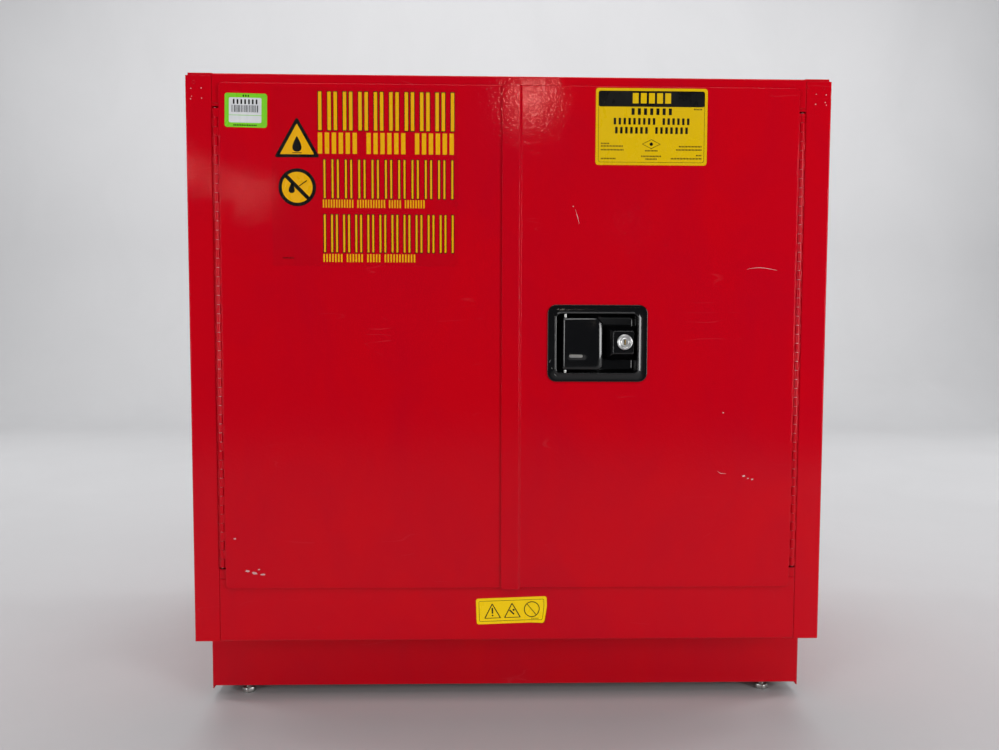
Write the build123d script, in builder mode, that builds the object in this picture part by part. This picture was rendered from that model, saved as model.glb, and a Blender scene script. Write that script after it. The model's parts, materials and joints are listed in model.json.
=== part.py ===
"""Undercounter flammable storage cabinet: double-wall steel, two doors, three-point latch.

Millimetres.  +Z up, +X right, doors face -Y.  The origin is under the middle of the
whole object's box, on the floor.
"""
import os
from math import cos, radians

from build123d import *

os.makedirs("parts", exist_ok=True)

# ---- driving dimensions ------------------------------------------------------------
width = 889.0            # outside width of the shell, 35 in
depth = 559.0            # shell front face to shell back face, 22 in
height = 903.0           # floor to top: 35 in shell on its levelling feet
sheet = 1.2              # 18 gauge steel
air_gap = 38.0           # air space between the two walls, 1.5 in
front_overhang = 8.5     # lock face in front of the shell
rear_overhang = 16.0     # vent caps and ground stud behind the shell
foot_gap = 14.0          # floor to the side panels' lower edge
kick_height = 100.0
kick_setback = 66.7
sump_depth = 51.0        # raised sill that makes the floor a 2 in leak-proof sump
flange_width = 36.0      # front return of each side panel
jamb_x = 389.0           # half width of the door opening
frame_depth = 40.0       # depth of the door frame channel
seam = 0.3               # hairline between neighbouring panels

door_proud = 4.0         # door face in front of the shell's front plane
door_edge_x = 398.5
door_bottom = 190.6
door_top = 889.5
door_corner = 5.5
door_edge_depth = 2.4    # depth of the door skin's turned edge
skin_bend = 0.9          # outside radius of that edge
pan_depth = 42.0         # door pan, behind the skin
pan_side_x = 384.5
lip_left = -12.4         # astragal lip on the right door, over the left door
lip_right = 14.8
lip_step = 2.4

hinge_x = 403.5
hinge_pitch = 12.7
hinge_knuckles = 50
hinge_bottom = 220.5
knuckle_radius = 3.2
knuckle_gap = 0.4
hinge_pin_radius = 1.85
running_gap = 0.05       # radial clearance of a shaft in its hole

latch_x = 121.4          # centre of the paddle latch, a 5.5 x 4.25 in flange
latch_z = 537.0
latch_width = 139.7
latch_height = 107.3
dish_depth = 24.0
cam_x = 95.0             # pivot of the three-way latch cam
cam_arm = 18.0
rod_radius = 3.9
lock_x = 159.3
lock_z = 538.9

shelf_z = 520.0
foot_x = 397.0
vent_radius = 25.0

# ---- derived places ----------------------------------------------------------------
side_x = width / 2
front = -(depth + front_overhang + rear_overhang) / 2 + front_overhang
back = front + depth
shell_bottom = foot_gap + kick_height
seam_x = side_x - flange_width
inner_x = side_x - sheet - air_gap
inner_back_y = back - sheet - air_gap
ceiling_z = height - sheet - air_gap
floor_z = shell_bottom + sheet + air_gap
sill_z = floor_z + sump_depth
head_z = ceiling_z - 1.8
frame_back_y = front + frame_depth
kick_y = front + kick_setback
hinge_y = front - 1.0
hinge_top = hinge_bottom + hinge_knuckles * hinge_pitch
door_face_y = front - door_proud
skin_back_y = door_face_y + sheet
pan_back_y = skin_back_y + pan_depth
dish_back_y = door_face_y + dish_depth
rod_y = front + 29.0
top_rod_x = cam_x + cam_arm
bottom_rod_x = cam_x - cam_arm
bolt_z = latch_z + cam_arm
bolt_y = front + 31.5    # front face of the centre bolt bar
bolt_thickness = 2.5
keeper_x = -5.0          # meeting edge of the left door's pan
meeting_x = 13.0         # meeting edge of the right door's pan
bolt_reach = 0.8         # rods stop this short of their strikes


# ---- helpers -----------------------------------------------------------------------
def save(builder, name):
    """Label the finished piece and write its STEP file."""
    builder.part.label = name
    export_step(builder.part, f"parts/{name}.step")


def front_plane(y):
    """Vertical plane facing the front: local x is X, local y is Z, extrusion is towards -Y."""
    return Plane.XZ.offset(-y)


def fold(plane, points, side, bend=2.0):
    """Section of folded sheet: an open run of points, thickened to one side."""
    with BuildSketch(plane) as section:
        with BuildLine():
            FilletPolyline(*points, radius=bend)
            offset(amount=sheet, side=side)
        make_face()
    return section.sketch


def block(low, high, mode=Mode.ADD):
    """Box between two corners, added to or taken from the part being built."""
    centre = tuple((a + b) / 2 for a, b in zip(low, high))
    size = [b - a for a, b in zip(low, high)]
    with Locations(centre):
        Box(*size, mode=mode)


def rod(low, high, radius, mode=Mode.ADD):
    """Round bar between two points on a line parallel to an axis."""
    start, end = Vector(*low), Vector(*high)
    with Locations(Plane(origin=start, z_dir=end - start)):
        Cylinder(radius, (end - start).length, align=(Align.CENTER, Align.CENTER, Align.MIN), mode=mode)


def hexagon(low, high, flats, mode=Mode.ADD):
    """Hexagonal bar between two points."""
    start, end = Vector(*low), Vector(*high)
    with BuildSketch(Plane(origin=start, z_dir=end - start)) as head:
        RegularPolygon(flats / 2, 6, major_radius=False)
    extrude(head.sketch, amount=(end - start).length, mode=mode)


def set_hand(side):
    """The pieces are drawn for the right-hand side; the left one is its mirror image."""
    if side == "left":
        mirror(about=Plane.YZ, mode=Mode.REPLACE)


sides = ("left", "right")

# ---- outer shell -------------------------------------------------------------------
side_return = 18.0       # leg that turns in beside the hinge
side_top = height - 3.2  # side panels stop under the top panel's hem
for side in sides:
    with BuildPart() as outer_side:
        plan = [
            (seam_x, front + side_return),
            (seam_x, front),
            (side_x, front),
            (side_x, back - sheet),
            (side_x - 15, back - sheet),
        ]
        extrude(fold(Plane.XY.offset(foot_gap), plan, Side.LEFT), amount=side_top - foot_gap)
        block((side_x - 25, front + 3, side_top - sheet), (side_x - sheet / 2, back - 3, side_top))
        block(
            (seam_x - 1, front - 1, foot_gap - 1),
            (side_x + 1, kick_y, shell_bottom),
            mode=Mode.SUBTRACT,
        )
        set_hand(side)
    save(outer_side, f"outer_side_{side}")

stud_x, stud_z = 300.0, 150.0
stud_shank = 3.4         # plain shank under the nut, a little thicker than the M6 end
nut_face = 6.0           # outer face of the ground nut, behind the back panel
vents = {"low": (-330.0, 240.0), "high": (330.0, 800.0)}
with BuildPart() as outer_back:
    block((1.5 - side_x, back - sheet, foot_gap), (side_x - 1.5, back, height - sheet))
    for x, z in vents.values():
        rod((x, back - 5, z), (x, back + 5, z), vent_radius + 3.2, mode=Mode.SUBTRACT)
    rod((stud_x, back - 5, stud_z), (stud_x, back + 5, stud_z), stud_shank + 0.1, mode=Mode.SUBTRACT)
save(outer_back, "outer_back")

hem = 3.2
hem_inset = 4.0
with BuildPart() as outer_top:
    rail = [
        (back, height),
        (front, height),
        (front, head_z),
        (frame_back_y, head_z),
        (frame_back_y, head_z + 12),
    ]
    rail_x = seam_x - seam
    extrude(fold(Plane.YZ.offset(-rail_x), rail, Side.LEFT), amount=2 * rail_x)
    for s in (-1, 1):
        x_pair = sorted((s * (rail_x - 1), s * (side_x - hem_inset)))
        block((x_pair[0], front, height - sheet), (x_pair[1], back, height))
        block((x_pair[0] + (s > 0), front, height - hem), (x_pair[1] - (s < 0), front + sheet, height))
        edge = sorted((s * (side_x - hem_inset), s * (side_x - hem_inset - sheet)))
        block((edge[0], front, height - hem), (edge[1], back - sheet, height))
    rod((top_rod_x, rod_y, head_z - 5), (top_rod_x, rod_y, head_z + 5), 5, mode=Mode.SUBTRACT)
save(outer_top, "outer_top")

with BuildPart() as bottom_rail:
    rail = [
        (frame_back_y, floor_z + sheet),
        (frame_back_y, sill_z),
        (front, sill_z),
        (front, shell_bottom),
        (front + 22, shell_bottom),
    ]
    extrude(fold(Plane.YZ.offset(-rail_x), rail, Side.RIGHT), amount=2 * rail_x)
    rod((bottom_rod_x, rod_y, sill_z - 5), (bottom_rod_x, rod_y, sill_z + 5), 5, mode=Mode.SUBTRACT)
save(bottom_rail, "bottom_rail")

with BuildPart() as outer_bottom:
    block(
        (sheet - side_x, front + 22, shell_bottom),
        (side_x - sheet, back - 5, shell_bottom + sheet),
    )
    for s in (-1, 1):
        corner = sorted((s * (seam_x + 1.5), s * (side_x - 1.5)))
        block(
            (corner[0], front + 1.5, shell_bottom),
            (corner[1], front + 23, shell_bottom + sheet),
        )
save(outer_bottom, "outer_bottom")

kick_bottom = foot_gap + 3.7
with BuildPart() as toe_kick:
    kick = [
        (kick_y + 15, shell_bottom),
        (kick_y, shell_bottom),
        (kick_y, kick_bottom),
        (kick_y + 12, kick_bottom),
    ]
    extrude(fold(Plane.YZ.offset(sheet - side_x), kick, Side.LEFT), amount=width - 2 * sheet)
save(toe_kick, "toe_kick")

# ---- door frame and inner walls ----------------------------------------------------
notch_margin = 3.0
for side in sides:
    with BuildPart() as stile:
        channel = [
            (seam_x - seam, front),
            (jamb_x, front),
            (jamb_x, frame_back_y),
            (inner_x - sheet, frame_back_y),
        ]
        extrude(fold(Plane.XY.offset(sill_z), channel, Side.RIGHT), amount=head_z - sill_z)
        block(
            (jamb_x + 4, front - 1, hinge_bottom - notch_margin),
            (seam_x + 1, front + 3, hinge_top + notch_margin),
            mode=Mode.SUBTRACT,
        )
        set_hand(side)
    save(stile, f"frame_stile_{side}")

slot_columns = (-180.0, 180.0)
slot_rows = [300.0 + 55.0 * i for i in range(9)]
for side in sides:
    with BuildPart() as inner_side:
        block(
            (inner_x - sheet, frame_back_y, floor_z + sheet),
            (inner_x, inner_back_y - sheet, ceiling_z - sheet),
        )
        for y in slot_columns:
            for z in slot_rows:
                block((inner_x - 5, y - 2, z - 7), (inner_x + 5, y + 2, z + 7), mode=Mode.SUBTRACT)
        set_hand(side)
    save(inner_side, f"inner_side_{side}")

with BuildPart() as inner_back:
    block(
        (-inner_x, inner_back_y - sheet, floor_z + sheet),
        (inner_x, inner_back_y, ceiling_z - sheet),
    )
    for x, z in vents.values():
        rod((x, inner_back_y - 5, z), (x, inner_back_y + 5, z), vent_radius + 3.2, mode=Mode.SUBTRACT)
save(inner_back, "inner_back")

with BuildPart() as inner_top:
    block((-inner_x, frame_back_y, ceiling_z - sheet), (inner_x, inner_back_y, ceiling_z))
save(inner_top, "inner_top")

sump_x = inner_x - sheet - seam
with BuildPart() as sump_pan:
    block(
        (-sump_x, frame_back_y + seam, floor_z),
        (sump_x, inner_back_y - sheet - seam, sill_z),
    )
    fillet(sump_pan.edges().filter_by(Axis.Z), radius=4)
    offset(amount=-sheet, openings=sump_pan.faces().sort_by(Axis.Z)[-1])
save(sump_pan, "sump_pan")

# ---- piano hinges ------------------------------------------------------------------
def knuckle_spans(first):
    """Heights of every second knuckle, starting with the first or the second."""
    for i in range(first, hinge_knuckles, 2):
        low = hinge_bottom + i * hinge_pitch
        yield low + knuckle_gap / 2, low + hinge_pitch - knuckle_gap / 2


def bore_hinge():
    rod((hinge_x, hinge_y, hinge_bottom - 1), (hinge_x, hinge_y, hinge_top + 1),
        hinge_pin_radius + running_gap, mode=Mode.SUBTRACT)


leaf_x = seam_x - 1.4    # frame leaf lies against the side panel's turned leg
door_leaf_edge = hinge_x - knuckle_radius - 0.6
for side in sides:
    with BuildPart() as frame_leaf:
        block((leaf_x, front + 0.4, hinge_bottom), (leaf_x + sheet, front + 22, hinge_top))
        for low, high in knuckle_spans(0):
            rod((hinge_x, hinge_y, low), (hinge_x, hinge_y, high), knuckle_radius)
            block((hinge_x, hinge_y + 0.3, low), (leaf_x + sheet, front + 0.6, high))
        bore_hinge()
        set_hand(side)
    save(frame_leaf, f"hinge_frame_leaf_{side}")

    with BuildPart() as door_leaf:
        block(
            (pan_side_x + 1, skin_back_y, hinge_bottom),
            (door_leaf_edge, skin_back_y + sheet, hinge_top),
        )
        for low, high in knuckle_spans(1):
            rod((hinge_x, hinge_y, low), (hinge_x, hinge_y, high), knuckle_radius)
            block((door_leaf_edge, skin_back_y, low), (hinge_x, skin_back_y + sheet, high))
        bore_hinge()
        set_hand(side)
    save(door_leaf, f"hinge_door_leaf_{side}")

    with BuildPart() as hinge_pin:
        rod((hinge_x, hinge_y, hinge_bottom - 0.5), (hinge_x, hinge_y, hinge_top + 0.5), hinge_pin_radius)
        set_hand(side)
    save(hinge_pin, f"hinge_pin_{side}")

# ---- door skins --------------------------------------------------------------------
def door_skin_blank(free_x):
    """Right-hand door skin: a flat sheet with its edge turned back all round."""
    middle = ((free_x + door_edge_x) / 2, (door_bottom + door_top) / 2)
    wide = door_edge_x - free_x
    tall = door_top - door_bottom
    with BuildPart() as blank:
        with BuildSketch(front_plane(door_face_y)) as outline:
            with Locations(middle):
                Rectangle(wide, tall)
            fillet(outline.vertices().group_by(Axis.X)[-1], radius=door_corner)
        extrude(outline.sketch, amount=-door_edge_depth)
        folded = blank.faces().sort_by(Axis.Y)[0].edges().sort_by(Axis.X)[1:]
        fillet(folded, radius=skin_bend)
        with BuildSketch(front_plane(skin_back_y)) as inside:
            with Locations(middle):
                Rectangle(wide - 2 * sheet, tall - 2 * sheet)
            fillet(inside.vertices().group_by(Axis.X)[-1], radius=door_corner - sheet)
        extrude(inside.sketch, amount=-door_edge_depth, mode=Mode.SUBTRACT)
        block(
            (door_edge_x - 3, skin_back_y, hinge_bottom - notch_margin),
            (door_edge_x + 1, front, hinge_top + notch_margin),
            mode=Mode.SUBTRACT,
        )
    return blank.part


with BuildPart() as left_door_skin:
    add(door_skin_blank(-4.0))
    set_hand("left")
save(left_door_skin, "left_door_skin")

cutout_margin = 9.5
cutout_x = latch_width / 2 - cutout_margin
cutout_z = latch_height / 2 - cutout_margin
stud_offset_x = latch_width / 2 - 5.5
stud_offset_z = latch_height / 2 - 5.5
latch_studs_at = [
    (latch_x + i * stud_offset_x, latch_z + k * stud_offset_z) for i in (-1, 1) for k in (-1, 1)
]
lip_drop = 1.6           # the lip hangs a little below the door
lip_edge_x = lip_right - 3.0
with BuildPart() as right_door_skin:
    joggle = [
        (lip_right, door_face_y),
        (lip_edge_x, door_face_y - lip_step),
        (lip_left, door_face_y - lip_step),
    ]
    with BuildSketch(Plane.XY.offset(door_bottom - lip_drop)) as lip:
        Polygon(*joggle, *[(x, y + sheet) for x, y in reversed(joggle)], align=None)
    extrude(lip.sketch, amount=door_top - door_bottom + lip_drop)
    fillet(right_door_skin.edges().filter_by(Axis.Y).group_by(Axis.X)[0], radius=3)
    add(door_skin_blank(lip_right))
    block(
        (lip_right - 1, skin_back_y, door_bottom + sheet),
        (lip_right + sheet, front, door_top - sheet),
        mode=Mode.SUBTRACT,
    )
    block(
        (latch_x - cutout_x, door_face_y - 1, latch_z - cutout_z),
        (latch_x + cutout_x, front, latch_z + cutout_z),
        mode=Mode.SUBTRACT,
    )
    for x, z in latch_studs_at:
        rod((x, door_face_y - 1, z), (x, front, z), 2.2, mode=Mode.SUBTRACT)
save(right_door_skin, "right_door_skin")

# ---- door pans ---------------------------------------------------------------------
pan_bottom = sill_z + 4
pan_top = head_z - 4


def door_pan(meeting):
    """Right-hand inner pan of a door: a folded tray, open towards the skin."""
    with BuildPart() as tray:
        block((meeting, skin_back_y, pan_bottom), (pan_side_x, pan_back_y, pan_top))
        fillet(tray.edges().filter_by(Axis.Y), radius=4)
        fillet(tray.faces().sort_by(Axis.Y)[-1].edges(), radius=3)
        offset(amount=-sheet, openings=tray.faces().sort_by(Axis.Y)[0])
    return tray


with BuildPart() as left_door_pan:
    add(door_pan(-keeper_x).part)
    block(
        (-keeper_x - 2, bolt_y - 1.5, bolt_z - 8),
        (-keeper_x + 3, bolt_y + bolt_thickness + 1.5, bolt_z + 8),
        mode=Mode.SUBTRACT,
    )
    set_hand("left")
save(left_door_pan, "left_door_pan")

with BuildPart() as right_door_pan:
    add(door_pan(meeting_x).part)
    block(
        (meeting_x - 2, bolt_y - 0.5, bolt_z - 6.5),
        (meeting_x + 3, bolt_y + bolt_thickness + 0.5, bolt_z + 6.5),
        mode=Mode.SUBTRACT,
    )
    rod((top_rod_x, rod_y, pan_top - 5), (top_rod_x, rod_y, pan_top + 5), 5, mode=Mode.SUBTRACT)
    rod((bottom_rod_x, rod_y, pan_bottom - 5), (bottom_rod_x, rod_y, pan_bottom + 5), 5, mode=Mode.SUBTRACT)
save(right_door_pan, "right_door_pan")

with BuildPart() as left_keeper:
    block(
        (keeper_x - sheet - 3, bolt_y - 5, bolt_z - 22),
        (keeper_x - sheet, bolt_y + bolt_thickness + 2, bolt_z + 22),
    )
    block(
        (keeper_x - sheet - 4, bolt_y - 1.5, bolt_z - 8),
        (keeper_x, bolt_y + bolt_thickness + 1.5, bolt_z + 8),
        mode=Mode.SUBTRACT,
    )
save(left_keeper, "left_keeper")

# ---- paddle latch on the right door --------------------------------------------------
plate = 2.0              # latch flange thickness
tub_wall = 1.5
tub_low = (64.0, 495.8)
tub_high = (177.1, 577.9)
boss_face_y = front - 7.0
boss_low_z, boss_high_z = 513.0, 562.0
tub_floor_y = dish_back_y - tub_wall
paddle_pivot = (77.0, front + 1.0)
pivot_radius = 2.0
with BuildPart() as latch_dish:
    with BuildSketch(front_plane(door_face_y)) as flange:
        with Locations((latch_x, latch_z)):
            RectangleRounded(latch_width, latch_height, radius=12)
    extrude(flange.sketch, amount=plate)
    tub_middle = tuple((a + b) / 2 for a, b in zip(tub_low, tub_high))
    tub_size = [b - a for a, b in zip(tub_low, tub_high)]
    with BuildSketch(front_plane(door_face_y)) as tub:
        with Locations(tub_middle):
            RectangleRounded(tub_size[0] + 2 * tub_wall, tub_size[1] + 2 * tub_wall, radius=6 + tub_wall)
    extrude(tub.sketch, amount=-dish_depth)
    with BuildSketch(front_plane(door_face_y - plate)) as rim:
        with Locations(tub_middle):
            RectangleRounded(tub_size[0] + 4, tub_size[1] + 4, radius=8)
    extrude(rim.sketch, amount=1.5)
    fillet(latch_dish.faces().sort_by(Axis.Y)[0].edges(), radius=1.2)
    with BuildSketch(front_plane(tub_floor_y)) as hollow:
        with Locations(tub_middle):
            RectangleRounded(*tub_size, radius=6)
    extrude(hollow.sketch, amount=dish_depth + 10, mode=Mode.SUBTRACT)
    with BuildSketch(Plane.XY.offset(boss_low_z)) as boss:
        Polygon(
            (131.0, tub_floor_y),
            (143.8, boss_face_y),
            (171.0, boss_face_y),
            (tub_high[0], tub_floor_y),
            align=None,
        )
    extrude(boss.sketch, amount=boss_high_z - boss_low_z)
    rod((lock_x, boss_face_y - 1, lock_z), (lock_x, dish_back_y + 1, lock_z), 9.55, mode=Mode.SUBTRACT)
    rod((*paddle_pivot, tub_low[1] - 3), (*paddle_pivot, tub_high[1] + 3),
        pivot_radius + running_gap, mode=Mode.SUBTRACT)
save(latch_dish, "latch_dish")

with BuildPart() as paddle_pin:
    rod((*paddle_pivot, tub_low[1] - tub_wall), (*paddle_pivot, tub_high[1] + tub_wall), pivot_radius)
save(paddle_pin, "paddle_pin")

paddle_low = (72.5, 499.8)
paddle_high = (129.2, 573.0)
paddle_face_y = front - 6.5
ear = 1.6
with BuildPart() as paddle:
    plan = [
        (paddle_low[0], front + 3),
        (paddle_low[0], paddle_face_y),
        (paddle_high[0], paddle_face_y),
        (paddle_high[0], front + 0.5),
        (paddle_high[0] - 8, front + 0.5),
    ]
    section = fold(Plane.XY.offset(paddle_low[1]), plan, Side.LEFT, bend=3.0)
    extrude(section, amount=paddle_high[1] - paddle_low[1])
    for low in (paddle_low[1], paddle_high[1] - ear):
        with BuildSketch(Plane.XY.offset(low)) as lug:
            Polygon(
                (paddle_low[0] + 1, front + 4),
                (paddle_low[0] + 1, paddle_face_y + 3),
                (paddle_low[0] + 4, paddle_face_y + 0.6),
                (paddle_high[0] - 4, paddle_face_y + 0.6),
                (paddle_high[0] - 4, paddle_face_y + 4),
                (paddle_low[0] + 14, front + 4),
                align=None,
            )
        extrude(lug.sketch, amount=ear)
    with BuildSketch(front_plane(paddle_face_y + 3)) as lance:
        with Locations((93.0, 518.0)):
            SlotOverall(28, 6)
    extrude(lance.sketch, amount=6, mode=Mode.SUBTRACT)
    rod((*paddle_pivot, paddle_low[1] - 1), (*paddle_pivot, paddle_high[1] + 1),
        pivot_radius + running_gap, mode=Mode.SUBTRACT)
save(paddle, "paddle")

spring_radius = 3.1
spring_wire = 0.45
with BuildPart() as paddle_spring:
    for i in range(9):
        with Locations((*paddle_pivot, latch_z - 8 + i * 2)):
            Torus(spring_radius - spring_wire, spring_wire)
save(paddle_spring, "paddle_spring")

with BuildPart() as latch_studs:
    for x, z in latch_studs_at:
        rod((x, door_face_y, z), (x, front + 9, z), 2.0)
save(latch_studs, "latch_studs")

with BuildPart() as latch_nuts:
    for x, z in latch_studs_at:
        hexagon((x, skin_back_y, z), (x, skin_back_y + 3.2, z), 7)
        rod((x, skin_back_y - 1, z), (x, skin_back_y + 5, z), 2.0, mode=Mode.SUBTRACT)
save(latch_nuts, "latch_nuts")

# ---- latch cam, rods and centre bolt -------------------------------------------------
cam_front_y = front + 22.0
cam_plate = 2.8
cam_pin_radius = 2.5
post_radius = 4.0
cam_pins = (
    (top_rod_x, latch_z, front + 31.0),
    (bottom_rod_x, latch_z, front + 31.0),
    (cam_x, bolt_z, bolt_y + bolt_thickness + 0.5),
)
with BuildPart() as cam_post:
    rod((cam_x, dish_back_y, latch_z), (cam_x, cam_front_y + cam_plate + 0.4, latch_z), post_radius)
    rod((cam_x, dish_back_y, latch_z), (cam_x, cam_front_y - 0.4, latch_z), 7)
    rod((cam_x, cam_front_y + cam_plate + 0.4, latch_z), (cam_x, cam_front_y + cam_plate + 2, latch_z), 7)
save(cam_post, "cam_post")

with BuildPart() as latch_cam:
    rod((cam_x, cam_front_y, latch_z), (cam_x, cam_front_y + cam_plate, latch_z), 24)
    for x, z, end in cam_pins:
        rod((x, cam_front_y, z), (x, end, z), cam_pin_radius)
    rod((cam_x, cam_front_y - 1, latch_z), (cam_x, cam_front_y + 9, latch_z),
        post_radius + running_gap, mode=Mode.SUBTRACT)
save(latch_cam, "latch_cam")

cam_turn = 35.0
slot_gap = 0.6
pin_drift = cam_arm * (1 - cos(radians(cam_turn)))
slot_height = 2 * (cam_pin_radius + slot_gap)
tongue = 3.0             # thickness of a rod's flat end


def latch_rod(x, tip_z, root_z, inward):
    """Round rod with a flat slotted end, which the cam pin drives."""
    up = 1 if tip_z > root_z else -1
    with BuildPart() as bar:
        rod((x, rod_y, root_z), (x, rod_y, tip_z), rod_radius)
        chamfer(bar.edges().filter_by(GeomType.CIRCLE).sort_by(Axis.Z)[-1 if up > 0 else 0], length=1.2)
        neck = sorted((latch_z, root_z + up * 6))
        block((x - rod_radius, rod_y - tongue / 2, neck[0]), (x + rod_radius, rod_y + tongue / 2, neck[1]))
        x_pair = sorted((x + inward * 10.5, x - inward * 5.5))
        block((x_pair[0], rod_y - tongue / 2, latch_z - 7), (x_pair[1], rod_y + tongue / 2, latch_z + 7))
        slot_x = x + inward * pin_drift / 2
        half = slot_height / 2 + pin_drift / 2
        block(
            (slot_x - half, rod_y - 3, latch_z - slot_height / 2),
            (slot_x + half, rod_y + 3, latch_z + slot_height / 2),
            mode=Mode.SUBTRACT,
        )
    return bar


rod_root = 36.0          # round part starts this far from the cam, clear of the centre bolt
top_rod = latch_rod(top_rod_x, head_z - bolt_reach, latch_z + rod_root, -1)
save(top_rod, "top_rod")
bottom_rod = latch_rod(bottom_rod_x, sill_z + bolt_reach, latch_z - rod_root, 1)
save(bottom_rod, "bottom_rod")

bolt_tip_x = -1.0
with BuildPart() as centre_bolt:
    block(
        (bolt_tip_x, bolt_y, bolt_z - 6),
        (cam_x + 7, bolt_y + bolt_thickness, bolt_z + 6),
    )
    block(
        (cam_x - 7, bolt_y, bolt_z - 11),
        (cam_x + 7, bolt_y + bolt_thickness, bolt_z + 6),
    )
    block(
        (cam_x - slot_height / 2, bolt_y - 1, bolt_z - slot_height / 2 - pin_drift),
        (cam_x + slot_height / 2, bolt_y + 5, bolt_z + slot_height / 2),
        mode=Mode.SUBTRACT,
    )
save(centre_bolt, "centre_bolt")

guide_height = 8.0
with BuildPart() as rod_guides:
    for x, z in ((top_rod_x, pan_top - 22), (bottom_rod_x, pan_bottom + 22)):
        block(
            (x - 12, rod_y - 7, z - guide_height / 2),
            (x + 12, pan_back_y - sheet, z + guide_height / 2),
        )
        rod((x, rod_y, z - 9), (x, rod_y, z + 9), rod_radius + running_gap, mode=Mode.SUBTRACT)
    block((24, bolt_y - 4, bolt_z - 10), (32, pan_back_y - sheet, bolt_z + 10))
    block(
        (23, bolt_y - 0.3, bolt_z - 6.3),
        (33, bolt_y + bolt_thickness + 0.3, bolt_z + 6.3),
        mode=Mode.SUBTRACT,
    )
save(rod_guides, "rod_guides")

# ---- key lock ------------------------------------------------------------------------
plug_radius = 6.0
lock_face_y = front - front_overhang
with BuildPart() as lock_housing:
    rod((lock_x, boss_face_y, lock_z), (lock_x, dish_back_y + 5, lock_z), 9.5)
    rod((lock_x, lock_face_y, lock_z), (lock_x, boss_face_y, lock_z), 10.7)
    rod((lock_x, lock_face_y - 1, lock_z), (lock_x, dish_back_y + 9, lock_z),
        plug_radius + running_gap, mode=Mode.SUBTRACT)
save(lock_housing, "lock_housing")

with BuildPart() as lock_nut:
    hexagon((lock_x, dish_back_y, lock_z), (lock_x, dish_back_y + 3.5, lock_z), 24)
    rod((lock_x, dish_back_y - 1, lock_z), (lock_x, dish_back_y + 5, lock_z), 9.5, mode=Mode.SUBTRACT)
save(lock_nut, "lock_nut")

with BuildPart() as lock_plug:
    rod((lock_x, lock_face_y + 0.3, lock_z), (lock_x, dish_back_y + 5.3, lock_z), plug_radius)
    block(
        (lock_x - 0.9, lock_face_y - 1, lock_z - 4.2),
        (lock_x + 0.9, lock_face_y + 10, lock_z + 4.2),
        mode=Mode.SUBTRACT,
    )
save(lock_plug, "lock_plug")

with BuildPart() as lock_cam:
    with BuildSketch(front_plane(dish_back_y + 5.3)) as bar:
        with Locations((lock_x, lock_z - 9)):
            SlotOverall(30, 12, rotation=90)
    extrude(bar.sketch, amount=-2.5)
save(lock_cam, "lock_cam")

# ---- shelf -----------------------------------------------------------------------------
shelf_x = inner_x - sheet - 5
shelf_front = frame_back_y + 18
shelf_back = inner_back_y - sheet - 4
shelf_rim = 25.0
with BuildPart() as shelf:
    block((-shelf_x, shelf_front, shelf_z), (shelf_x, shelf_back, shelf_z + shelf_rim))
    fillet(shelf.edges().filter_by(Axis.Z), radius=4)
    offset(amount=-sheet, openings=shelf.faces().sort_by(Axis.Z)[-1])
save(shelf, "shelf")

bracket_slot_z = min(slot_rows, key=lambda z: abs(z - shelf_z))
with BuildPart() as shelf_brackets:
    for s in (-1, 1):
        for y in slot_columns:
            x_pair = sorted((s * (inner_x - sheet), s * (inner_x - sheet - 18)))
            block((x_pair[0], y - 12, shelf_z - 3.3), (x_pair[1], y + 12, shelf_z - 0.3))
            wall = sorted((s * (inner_x - sheet), s * (inner_x - sheet - 2)))
            block((wall[0], y - 12, shelf_z - 30), (wall[1], y + 12, shelf_z - 0.3))
            tab = sorted((s * (inner_x + 3), s * (inner_x - sheet - 1)))
            block((tab[0], y - 1.7, bracket_slot_z - 6), (tab[1], y + 1.7, bracket_slot_z + 6))
save(shelf_brackets, "shelf_brackets")

# ---- levelling feet --------------------------------------------------------------------
foot_ys = {"front": kick_y + 22, "rear": back - 32}
stem_radius = 5.0
bracket_z = 34.0
for row, y in foot_ys.items():
    for side in sides:
        with BuildPart() as foot:
            hexagon((foot_x, y, 0), (foot_x, y, 8), 19)
            chamfer(foot.faces().sort_by(Axis.Z)[0].edges(), length=1)
            rod((foot_x, y, 8), (foot_x, y, 74), stem_radius - running_gap)
            set_hand(side)
        save(foot, f"foot_{row}_{side}")

corners = [(s * foot_x, y) for s in (-1, 1) for y in foot_ys.values()]
with BuildPart() as foot_brackets:
    for x, y in corners:
        outer = side_x - sheet if x > 0 else sheet - side_x
        x_pair = sorted((outer, x - (28 if x > 0 else -28)))
        block((x_pair[0], y - 18, bracket_z), (x_pair[1], y + 18, bracket_z + 3))
        leg = sorted((outer, outer - (3 if x > 0 else -3)))
        block((leg[0], y - 18, bracket_z), (leg[1], y + 18, shell_bottom - sheet))
        rod((x, y, bracket_z - 3), (x, y, bracket_z + 6), stem_radius + 0.5, mode=Mode.SUBTRACT)
save(foot_brackets, "foot_brackets")

with BuildPart() as foot_nuts:
    for x, y in corners:
        hexagon((x, y, bracket_z + 3), (x, y, bracket_z + 11), 17)
        rod((x, y, bracket_z), (x, y, bracket_z + 12), stem_radius, mode=Mode.SUBTRACT)
save(foot_nuts, "foot_nuts")

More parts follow.
